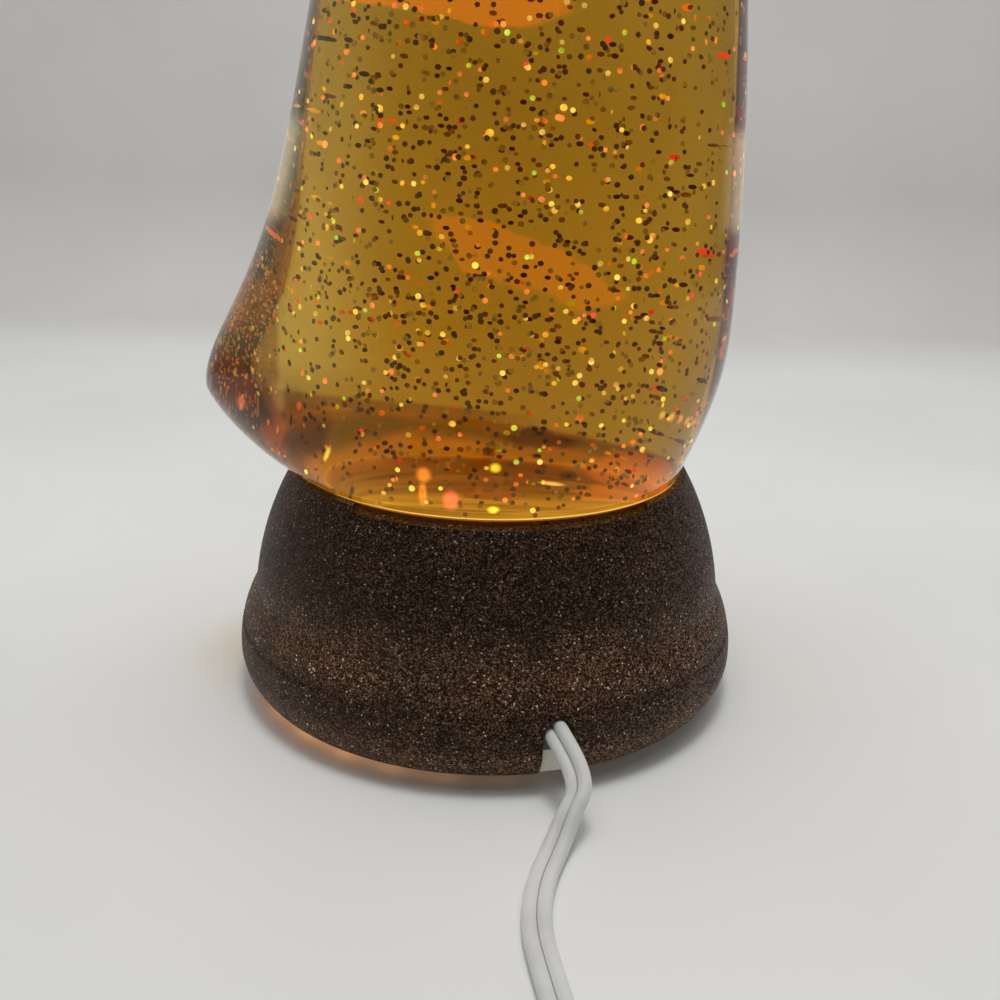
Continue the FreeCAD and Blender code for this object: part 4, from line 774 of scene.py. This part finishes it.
def litLiquid(tree, shader):
    facts = lightInLiquid
    vector, axes = objectAxes(tree)
    height = axes.outputs["Z"]
    back = fade(tree, axes.outputs["Y"], *facts["backHalf"])
    front = fade(tree, axes.outputs["Y"], *facts["frontHalf"])
    # painted light: the lamp's light as a band low on the back wall, blending into the lit plate
    # below, and a glow low on the front
    glow = glowColour(tree, facts["bandScale"], facts["bandStretch"])
    # the band's top edge is lower on the right
    sloping = addNode(tree, "ShaderNodeMath", (-1000, 500), operation="MULTIPLY_ADD")
    tree.links.new(axes.outputs["X"], sloping.inputs[0])
    sloping.inputs[1].default_value = facts["bandLean"]
    tree.links.new(height, sloping.inputs[2])
    bandHeight = sloping.outputs["Value"]
    farBand = times(tree, back, fade(tree, bandHeight, *facts["bandTop"]))
    nearBand = times(tree, front, fade(tree, height, *facts["frontFade"]))
    lower = fade(tree, height, *facts["floorBlend"])
    band = blendColour(tree, lower, glow, floorLight(tree, vector, axes))
    total = blendColour(tree, farBand, (0, 0, 0), band)
    bottom = fade(tree, height, *facts["floorTop"])
    total = blendColour(tree, bottom, total, band)
    total = addLight(tree, total, nearBand, facts["frontColour"])
    for reach, rise, colour in facts["frontGlows"]:
        frontGlow = times(tree, front, fade(tree, axes.outputs["X"], *reach))
        frontGlow = times(tree, frontGlow, fade(tree, height, *rise))
        total = addLight(tree, total, frontGlow, colour)
    ragged = raggedPlace(tree, vector)
    for middle, size, tilt, colour in facts["leaves"]:
        patch = patchMask(tree, ragged, middle, size, tilt, facts["leafEdge"])
        total = addLight(tree, total, times(tree, back, patch), colour)
    for middle, size, tilt, colour in facts["spots"]:
        patch = patchMask(tree, vector, middle, size, tilt, facts["spotEdge"])
        total = addLight(tree, total, times(tree, front, patch), colour)
    # painted shade: a darker strip along the top of the band of light, on the left
    line = times(tree, back, fade(tree, bandHeight, *facts["lineTop"]))
    line = times(tree, line, fade(tree, axes.outputs["X"], *facts["lineAcross"]))
    # the tail is tinted darker and given a faint painted glow; its edge leans with height
    tail = fade(tree, leaningAcross(tree, axes, facts["tailSlope"]), *facts["tailEdge"])
    tail = times(tree, tail, fade(tree, height, *facts["tailTop"]))
    total = addLight(tree, total, tail, facts["tailGlow"])
    # a smaller darker patch higher up on the same side, in the tail's tint
    upperPatch = fade(tree, leaningAcross(tree, axes, facts["upperPatchSlope"]), *facts["upperPatchEdge"])
    upperPatch = times(tree, upperPatch, fade(tree, height, *facts["upperPatchFoot"]))
    addEmission(tree, shader, total, facts["bandStrength"])
    tint = blendColour(tree, line, (1.0, 1.0, 1.0), facts["lineTint"])
    # behind the band of painted light the liquid lets little through
    tint = blendColour(tree, farBand, tint, facts["bandTint"])
    for middle, size, tilt, colour in facts["shades"]:
        patch = patchMask(tree, ragged, middle, size, tilt, facts["shadeEdge"])
        tint = blendColour(tree, times(tree, front, patch), tint, colour)
    tint = blendColour(tree, tail, tint, facts["tailTint"])
    tint = blendColour(tree, upperPatch, tint, facts["tailTint"])
    # the bottom lets nothing through and shows only its painted light
    tint = blendColour(tree, bottom, tint, (0.0, 0.0, 0.0))
    tree.links.new(tint, shader.inputs["Base Color"])


# a pair of levels or distances: full effect at the first, none at the second
clearFacts = {
    "cloudScale": 35.0,
    "cloud": [(0.3, (0.97, 0.97, 0.96)), (0.7, (1.0, 1.0, 1.0))],
    "waveStrength": 0.05,
    "waveDepth": 0.002,
    "edgeTop": (0.0511, 0.0513),
    "edgeAcross": (-0.0300, -0.0306),
    "gold": (0.66, 0.38, 0.08),
    "underGold": ((0.0507, 0.0508), (0.26, 0.135, 0.016)),
    "underShadow": ((0.0502, 0.0504), (0.0, 0.0, 0.0)),
    "rimFacing": (0.78, 0.52),
    "rimFoot": (0.1060, 0.1010),
    "rimTop": (0.1190, 0.1240),
    "rimColour": (0.30, 0.25, 0.15),
    "dim": ((0.0507, 0.0509), (0.012, 0.007, 0.003)),
    "glow": 0.8,
}


def clearPlastic():
    facts = clearFacts
    material, tree, shader = newMaterial("clearPlastic", Roughness=0.02, IOR=1.45)
    shader.inputs["Transmission Weight"].default_value = 1.0
    shader.inputs["Specular Tint"].default_value = (0.9, 0.6, 0.3, 1)
    place, axes = objectAxes(tree)
    height = axes.outputs["Z"]
    cloud = noiseAt(tree, place, facts["cloudScale"], 3.0)
    addBump(tree, shader, cloud, facts["waveStrength"], facts["waveDepth"])
    # painted light and shade: the foot's edge carries the lamp's light as a thin gold line, over a
    # painted dark shadow
    edge = fade(tree, height, *facts["edgeTop"])
    edge = times(tree, edge, fade(tree, axes.outputs["X"], *facts["edgeAcross"]))
    gold = facts["gold"]
    for rise, colour in (facts["underGold"], facts["underShadow"]):
        gold = blendColour(tree, fade(tree, height, *rise), gold, colour)
    # the room's pale light caught along the wall's edge, as seen from any side
    facing = addNode(tree, "ShaderNodeLayerWeight", (-1000, 500), Blend=0.5)
    rim = fade(tree, facing.outputs["Facing"], *facts["rimFacing"])
    foot, top = fade(tree, height, *facts["rimFoot"]), fade(tree, height, *facts["rimTop"])
    rim = times(tree, rim, times(tree, foot, top))
    light = blendColour(tree, rim, (0, 0, 0), facts["rimColour"])
    addEmission(tree, shader, blendColour(tree, edge, light, gold), facts["glow"])
    # painted shade: below the gold line the wall is tinted nearly black
    rise, colour = facts["dim"]
    clear = ramp(tree, cloud, facts["cloud"], (-350, 0))
    tone = blendColour(tree, fade(tree, height, *rise), clear, colour)
    tree.links.new(tone, shader.inputs["Base Color"])
    throughLight(tree, shader)
    return material


def amberLiquid():
    material, tree, shader = newMaterial("amberLiquid", Roughness=0.0, IOR=1.0)
    shader.inputs["Transmission Weight"].default_value = 1.0
    litLiquid(tree, shader)
    throughLight(tree, shader)
    absorb = addNode(tree, "ShaderNodeVolumeAbsorption", (0, -500), Density=52.0,
                     Color=(0.88, 0.70, 0.02, 1))
    tree.links.new(absorb.outputs["Volume"], tree.nodes["Material Output"].inputs["Volume"])
    return material


addPiece("vessel", vesselMesh("vessel", 0.0, vesselFacts["footBottom"]),
         "lamp", "clear_plastic", clearPlastic(), "vessel_shell")
filling = vesselMesh("amberFilling", vesselFacts["wall"], vesselFacts["fillingBottom"])
addPiece("amberFilling", filling, "lamp", "amber_liquid", amberLiquid(), "amber_liquid")

flakeFacts = {
    "seed": 7,
    "radius": 0.00048,
    "sides": 10,
    "batch": 150,
    "margin": 0.0034,
    "lowest": 0.0505,
    "highest": 0.2400,
    "lean": 0.14,
    "frontShare": 0.74,
    "outwardBias": 0.3,
    "sidewaysShare": 0.4,
    "sizes": (0.80, 1.15),
    # tone: count, colour, glow, roughness, size; the glow is painted light
    "tones": {
        "darkFlakes": (1750, (0.070, 0.024, 0.003), 0.5, 0.6, 1.0),
        "brownFlakes": (1700, (0.19, 0.105, 0.012), 0.7, 0.6, 1.0),
        "goldFlakes": (300, (1.0, 0.62, 0.12), 0.9, 0.25, 1.0),
        "emberFlakes": (260, (1.0, 0.23, 0.05), 0.9, 0.25, 1.0),
        "rubyFlakes": (40, (1.0, 0.06, 0.05), 1.0, 0.25, 1.0),
        "greenFlakes": (70, (0.55, 0.95, 0.08), 0.8, 0.25, 1.0),
        "goldGlints": (44, (1.0, 0.60, 0.08), 1.1, 0.25, 1.35),
        "emberGlints": (30, (1.0, 0.26, 0.05), 1.0, 0.25, 1.3),
    },
    "tailStart": -0.0405,
    # lowest, highest, most likely
    "tailLevels": (0.058, 0.104, 0.084),
    "tailSpread": 0.75,
    "tailDepth": 0.018,
    "tailFacing": (-0.35, 1.0, 0.1),
    "tailGlow": 0.45,
    # tail flakes: count, radius, colour
    "tailTones": {
        "tailFlakes": (850, 0.00028, (0.52, 0.34, 0.14)),
        "tailGlints": (90, 0.00044, (0.80, 0.64, 0.36)),
    },
}


def flakeMaterial(name, colour, glow, roughness):
    material, tree, shader = newMaterial(name, Roughness=roughness)
    cloud = noiseAt(tree, objectPlace(tree), 400.0, 1.0)
    dim = tuple(channel * 0.55 for channel in colour)
    full = tuple(min(1, channel * 1.25) for channel in colour)
    tone = ramp(tree, cloud, [(0.35, dim), (0.65, full)], (-350, 0))
    tree.links.new(tone, shader.inputs["Base Color"])
    # painted light: each flake glows in its own tone, as if lit by the lamp
    addEmission(tree, shader, tone, glow)
    return material


def flakeSpot(chance):
    # anywhere in the liquid, most in its front half; returns a place and the way outwards
    while True:
        level = chance.uniform(flakeFacts["lowest"], flakeFacts["highest"])
        breadth = vesselPoint(math.pi / 2, level, 0).y / vesselFacts["halfDepth"]
        if chance.random() < breadth * breadth:
            break
    centre = Vector((vesselFacts["wideCentre"], 0, level))
    angle = chance.uniform(0, math.pi)
    if chance.random() < flakeFacts["frontShare"]:
        angle = 2 * math.pi - angle
    edge = vesselPoint(angle, level, flakeFacts["margin"])
    place = centre.lerp(edge, chance.random() ** flakeFacts["outwardBias"])
    outwards = place - centre
    outwards.x *= flakeFacts["sidewaysShare"]
    return place, outwards.normalized()


def tailSpot(chance):
    # in the tail; each flake faces the nearer of its front and its back
    spread = flakeFacts["tailSpread"]
    x, y, z = flakeFacts["tailFacing"]
    while True:
        level = chance.triangular(*flakeFacts["tailLevels"])
        angle = math.pi + chance.uniform(-spread, spread)
        edge = vesselPoint(angle, level, flakeFacts["margin"])
        inner = vesselPoint(angle, level, flakeFacts["tailDepth"])
        place = inner.lerp(edge, math.sqrt(chance.random()))
        if place.x < flakeFacts["tailStart"]:
            return place, Vector((x, -y if place.y < 0 else y, z))


def flakeMesh(name, count, radius, chance, findSpot):
    whole = bpy.data.meshes.new(name)
    joined = bmesh.new()
    while count > 0:
        batch = bmesh.new()
        for number in range(min(count, flakeFacts["batch"])):
            place, outwards = findSpot(chance)
            lean = Vector([chance.gauss(0, flakeFacts["lean"]) for axis in range(3)])
            turn = (outwards + lean).to_track_quat("Z", "Y").to_matrix().to_4x4()
            spin = Matrix.Rotation(chance.uniform(0, math.pi), 4, "Z")
            bmesh.ops.create_circle(
                batch, cap_ends=True, segments=flakeFacts["sides"],
                radius=radius * chance.uniform(*flakeFacts["sizes"]),
                matrix=Matrix.Translation(place) @ turn @ spin)
        batch.to_mesh(whole)
        batch.free()
        joined.from_mesh(whole)
        count -= flakeFacts["batch"]
    joined.to_mesh(whole)
    joined.free()
    whole.shade_flat()
    return whole


def makeFlakes():
    chance = random.Random(flakeFacts["seed"])
    for name, (count, colour, glow, roughness, size) in flakeFacts["tones"].items():
        mesh = flakeMesh(name, count, flakeFacts["radius"] * size, chance, flakeSpot)
        material = flakeMaterial(name, colour, glow, roughness)
        addPiece(name, mesh, "lamp", "amber_liquid", material)
    for name, (count, radius, colour) in flakeFacts["tailTones"].items():
        mesh = flakeMesh(name, count, radius, chance, tailSpot)
        material = flakeMaterial(name, colour, flakeFacts["tailGlow"], 0.25)
        addPiece(name, mesh, "lamp", "amber_liquid", material)


makeFlakes()
print("vessel, liquid and flakes made")

# ---- base: dark brown glitter coat


def sparkGrain():
    # tiny facets: a random value for each grain and a normal that leans its own way
    group, entry, leave = newGroup(
        "sparkGrain", {"Scale": "Float", "Lean": "Float"}, {"Tone": "Float", "Normal": "Vector"})
    cells = addNode(group, "ShaderNodeTexVoronoi", (-650, 0))
    group.links.new(objectPlace(group), cells.inputs["Vector"])
    group.links.new(entry.outputs["Scale"], cells.inputs["Scale"])
    parts = addNode(group, "ShaderNodeSeparateColor", (-400, 100))
    group.links.new(cells.outputs["Color"], parts.inputs["Color"])
    group.links.new(parts.outputs["Red"], leave.inputs["Tone"])
    centred = vectorMath(group, "SUBTRACT", cells.outputs["Color"], (0.5, 0.5, 0.5))
    leaning = vectorMath(group, "SCALE", centred.outputs["Vector"])
    group.links.new(entry.outputs["Lean"], leaning.inputs["Scale"])
    surface = addNode(group, "ShaderNodeNewGeometry", (-200, -350))
    total = vectorMath(group, "ADD", surface.outputs["Normal"], leaning.outputs["Vector"])
    unit = vectorMath(group, "NORMALIZE", total.outputs["Vector"])
    group.links.new(unit.outputs["Vector"], leave.inputs["Normal"])
    return group


grainGroup = sparkGrain()

# painted light and shade by height; share of the base's height over the table: tone
coatLightBands = [(0.06, (0.97, 0.97, 0.97)), (0.17, (0.93, 0.93, 0.93)), (0.215, (0.60, 0.60, 0.60)),
             (0.325, (0.56, 0.56, 0.56)), (0.37, (0.84, 0.84, 0.84)), (0.46, (0.95, 0.95, 0.95)),
             (0.54, (0.80, 0.80, 0.80)), (0.66, (0.46, 0.46, 0.46)), (1.0, (0.42, 0.42, 0.42))]


coatFacts = {
    "grainScale": 3800.0,
    "grainLean": 0.7,
    "grain": [(0.0, (0.005, 0.0020, 0.0009)), (0.42, (0.020, 0.0095, 0.0045)),
              (0.74, (0.080, 0.044, 0.024)), (0.94, (0.17, 0.100, 0.060)),
              (0.988, (0.22, 0.15, 0.10)), (0.998, (0.70, 0.60, 0.52))],
    "driftScale": 110.0,
    "drift": [(0.35, (0.8, 0.8, 0.8)), (0.65, (1.15, 1.1, 1.05))],
    "lightBandsTop": 0.05,
}


def glitterCoat():
    facts = coatFacts
    material, tree, shader = newMaterial("glitterCoat", Roughness=0.5, Metallic=0.2)
    shader.inputs["Specular IOR Level"].default_value = 0.14
    grain = addNode(tree, "ShaderNodeGroup", (-900, 0), node_tree=grainGroup,
                    Scale=facts["grainScale"], Lean=facts["grainLean"])
    fine = ramp(tree, grain.outputs["Tone"], facts["grain"], (-600, 100))
    # coarser drifts of the coat
    place, axes = objectAxes(tree)
    shade = ramp(tree, noiseAt(tree, place, facts["driftScale"], 4.0), facts["drift"], (-500, -400))
    # painted light and shade: the coat paler on the ledge and along the foot, which catch the
    # light, and darker between them and on the dome
    level = addNode(tree, "ShaderNodeMapRange", (-1100, -700))
    tree.links.new(axes.outputs["Z"], level.inputs["Value"])
    level.inputs["From Max"].default_value = facts["lightBandsTop"]
    heightLight = ramp(tree, level.outputs["Result"], coatLightBands, (-500, -700))
    tone = blendColour(tree, None, fine, shade, "MULTIPLY")
    tone = blendColour(tree, None, tone, heightLight, "MULTIPLY")
    # the bands run from nothing to one, for up to twice the grain's own tone
    doubled = blendColour(tree, None, tone, (2.0, 2.0, 2.0), "MULTIPLY")
    tree.links.new(doubled, shader.inputs["Base Color"])
    tree.links.new(grain.outputs["Normal"], shader.inputs["Normal"])
    return material


def dress(material, *names):
    for name in names:
        mesh = nodes[name].data
        mesh.materials.clear()
        mesh.materials.append(material)


dress(glitterCoat(), "base_shell")
print("base dressed")

# ---- every other piece of the lamp, the switch and the plug

# low tone, high tone, roughness, metallic, pattern scale, bump depth
finishes = {
    "creamPlastic": ((0.80, 0.77, 0.66), (0.88, 0.85, 0.74), 0.45, 0.0, 120.0, 0.00004),
    "darkRubber": ((0.012, 0.012, 0.012), (0.03, 0.03, 0.03), 0.85, 0.0, 700.0, 0.00008),
    "brightSteel": ((0.50, 0.49, 0.47), (0.66, 0.65, 0.63), 0.28, 1.0, 900.0, 0.00002),
    "greyFoam": ((0.05, 0.05, 0.05), (0.12, 0.12, 0.12), 0.95, 0.0, 1600.0, 0.00020),
    "whitePlastic": ((0.72, 0.72, 0.70), (0.80, 0.80, 0.78), 0.40, 0.0, 150.0, 0.00003),
    "whiteReflector": ((0.80, 0.80, 0.78), (0.88, 0.88, 0.86), 0.30, 0.0, 90.0, 0.00002),
    "nickelMagnet": ((0.42, 0.42, 0.43), (0.60, 0.60, 0.60), 0.22, 1.0, 500.0, 0.00002),
    "zincSteel": ((0.40, 0.41, 0.42), (0.58, 0.58, 0.57), 0.38, 1.0, 260.0, 0.00004),
    "brass": ((0.55, 0.38, 0.14), (0.72, 0.52, 0.22), 0.30, 1.0, 600.0, 0.00002),
    "whiteBoard": ((0.66, 0.67, 0.64), (0.76, 0.77, 0.74), 0.42, 0.0, 300.0, 0.00002),
    "greenBoard": ((0.010, 0.075, 0.028), (0.020, 0.12, 0.045), 0.35, 0.0, 300.0, 0.00002),
    "boardParts": ((0.012, 0.012, 0.014), (0.035, 0.035, 0.04), 0.45, 0.0, 400.0, 0.00003),
    "innerWire": ((0.45, 0.03, 0.02), (0.58, 0.05, 0.03), 0.45, 0.0, 500.0, 0.00002),
    "whiteSwitch": ((0.70, 0.70, 0.68), (0.78, 0.78, 0.76), 0.38, 0.0, 220.0, 0.00003),
}


def plainMaterial(name):
    low, high, roughness, metallic, scale, depth = finishes[name]
    material, tree, shader = newMaterial(name, Roughness=roughness, Metallic=metallic)
    cloud = noiseAt(tree, objectPlace(tree), scale, 5.0)
    tone = ramp(tree, cloud, [(0.35, low), (0.65, high)], (-350, 0))
    tree.links.new(tone, shader.inputs["Base Color"])
    addBump(tree, shader, cloud, 0.6, depth)
    return material


dress(plainMaterial("creamPlastic"), "bottom_plate", "cord_clamp")
dress(plainMaterial("darkRubber"), "rubber_feet")
dress(plainMaterial("brightSteel"), "plate_screws", "led_screws", "driver_screws",
      "bracket_screws", "motor_screws", "clamp_screws", "switch_screws", "motor_shaft")
dress(plainMaterial("greyFoam"), "seat_ring")
dress(plainMaterial("whitePlastic"), "magnet_carrier")
dress(plainMaterial("whiteReflector"), "reflector")
dress(plainMaterial("nickelMagnet"), "drive_magnets")
dress(plainMaterial("zincSteel"), "motor_can", "motor_bracket")
dress(plainMaterial("brass"), "motor_terminals", "switch_contacts", "plug_blades")
dress(plainMaterial("whiteBoard"), "led_board")
dress(plainMaterial("greenBoard"), "driver_board")
dress(plainMaterial("boardParts"), "driver_parts")
dress(plainMaterial("innerWire"), "supply_wires", "motor_wires", "led_wires")
dress(plainMaterial("whiteSwitch"), "switch_base", "switch_cover", "switch_rocker", "plug_body")


def amberPlastic():
    # clear amber, hardly seen in the liquid
    material, tree, shader = newMaterial("amberPlastic", Roughness=0.0, IOR=1.0)
    shader.inputs["Transmission Weight"].default_value = 1.0
    cloud = noiseAt(tree, objectPlace(tree), 140.0, 3.0)
    stops = [(0.35, (0.92, 0.84, 0.62)), (0.65, (0.97, 0.91, 0.72))]
    tree.links.new(ramp(tree, cloud, stops, (-350, 0)), shader.inputs["Base Color"])
    # painted light: a faint glow of the lamp's light
    glow = glowColour(tree, lightInLiquid["bandScale"], lightInLiquid["bandStretch"])
    addEmission(tree, shader, glow, 0.02)
    throughLight(tree, shader)
    return material


def glintMaterial():
    # each flake has one of five colours by where it lies
    material, tree, shader = newMaterial("glintFlakes", Roughness=0.25)
    cells = addNode(tree, "ShaderNodeTexVoronoi", (-800, 0), Scale=180.0)
    tree.links.new(objectPlace(tree), cells.inputs["Vector"])
    parts = addNode(tree, "ShaderNodeSeparateColor", (-600, 0))
    tree.links.new(cells.outputs["Color"], parts.inputs["Color"])
    stops = [(0.0, (0.075, 0.030, 0.010)), (0.30, (1.0, 0.62, 0.12)), (0.58, (1.0, 0.23, 0.05)),
             (0.82, (0.55, 0.95, 0.08)), (0.92, (1.0, 0.06, 0.05))]
    tone = ramp(tree, parts.outputs["Red"], stops, (-350, 0))
    tone.node.color_ramp.interpolation = "CONSTANT"
    tree.links.new(tone, shader.inputs["Base Color"])
    # painted light: each flake glows in its colour
    addEmission(tree, shader, tone, 0.7)
    return material


dress(amberPlastic(), "stirrer_wheel", "pin_cap", "stirrer_pin", "stirrer_magnets")
dress(glintMaterial(), "glitter_flakes")

# ---- lit pieces: the lamp board's lamps, and the vessel's plate that spreads their light

glowFacts = {
    "lamp": ((1.0, 0.62, 0.25), 14.0),
    "plateStrength": 0.42,
    "plateScale": 34.0,
    "plateStretch": (0.6, 1.6, 1.0),
}


def litLamp():
    material, tree, shader = newMaterial("litLamp", Roughness=0.2)
    colour, strength = glowFacts["lamp"]
    shader.inputs["Base Color"].default_value = (0.9, 0.85, 0.7, 1)
    cloud = noiseAt(tree, objectPlace(tree), 300.0, 1.0)
    low = tuple(channel * 0.8 for channel in colour)
    tone = ramp(tree, cloud, [(0.3, low), (0.7, colour)], (-350, 0))
    addEmission(tree, shader, tone, strength)
    return material


def glowingPlate():
    material, tree, shader = newMaterial("glowingPlate", Roughness=0.3)
    shader.inputs["Base Color"].default_value = (0.5, 0.3, 0.1, 1)
    glow = glowColour(tree, glowFacts["plateScale"], glowFacts["plateStretch"])
    addEmission(tree, shader, glow, glowFacts["plateStrength"])
    return material


dress(litLamp(), "led_lamps")
dress(glowingPlate(), "vessel_plate", "fill_plug")


ventFacts = {
    "count": 28,
    "strongestAt": 216,
    "spread": 40,
    "radius": 0.0505,
    "height": 0.0026,
    "lean": 0.25,
    "size": (0.014, 0.003),
    "power": (0.000003, 0.00010),
    # green and blue of the light: at the strongest place, and what is added away from it
    "green": (0.43, 0.12),
    "blue": (0.16, 0.14),
}


def underGlow():
    # light that comes down through the plate's vents and out under the rim, strongest at
    # the front left
    facts = ventFacts
    green, blue, power = facts["green"], facts["blue"], facts["power"]
    for step in range(facts["count"]):
        turn = 2 * math.pi * step / facts["count"]
        away = (math.degrees(turn) - facts["strongestAt"]) / facts["spread"]
        share = math.exp(-away * away)
        spread = 1 - share
        colour = (1.0, green[0] + green[1] * spread, blue[0] + blue[1] * spread)
        outwards = Vector((math.cos(turn), math.sin(turn), 0))
        place = outwards * facts["radius"] + Vector((0, 0, facts["height"]))
        aim = place + outwards * facts["lean"] - Vector((0, 0, 1))
        areaLight(f"ventGlow_{step}", place, aim, facts["size"][0], power[0] + power[1] * share,
                  colour, facts["size"][1])


underGlow()
print("all pieces dressed")
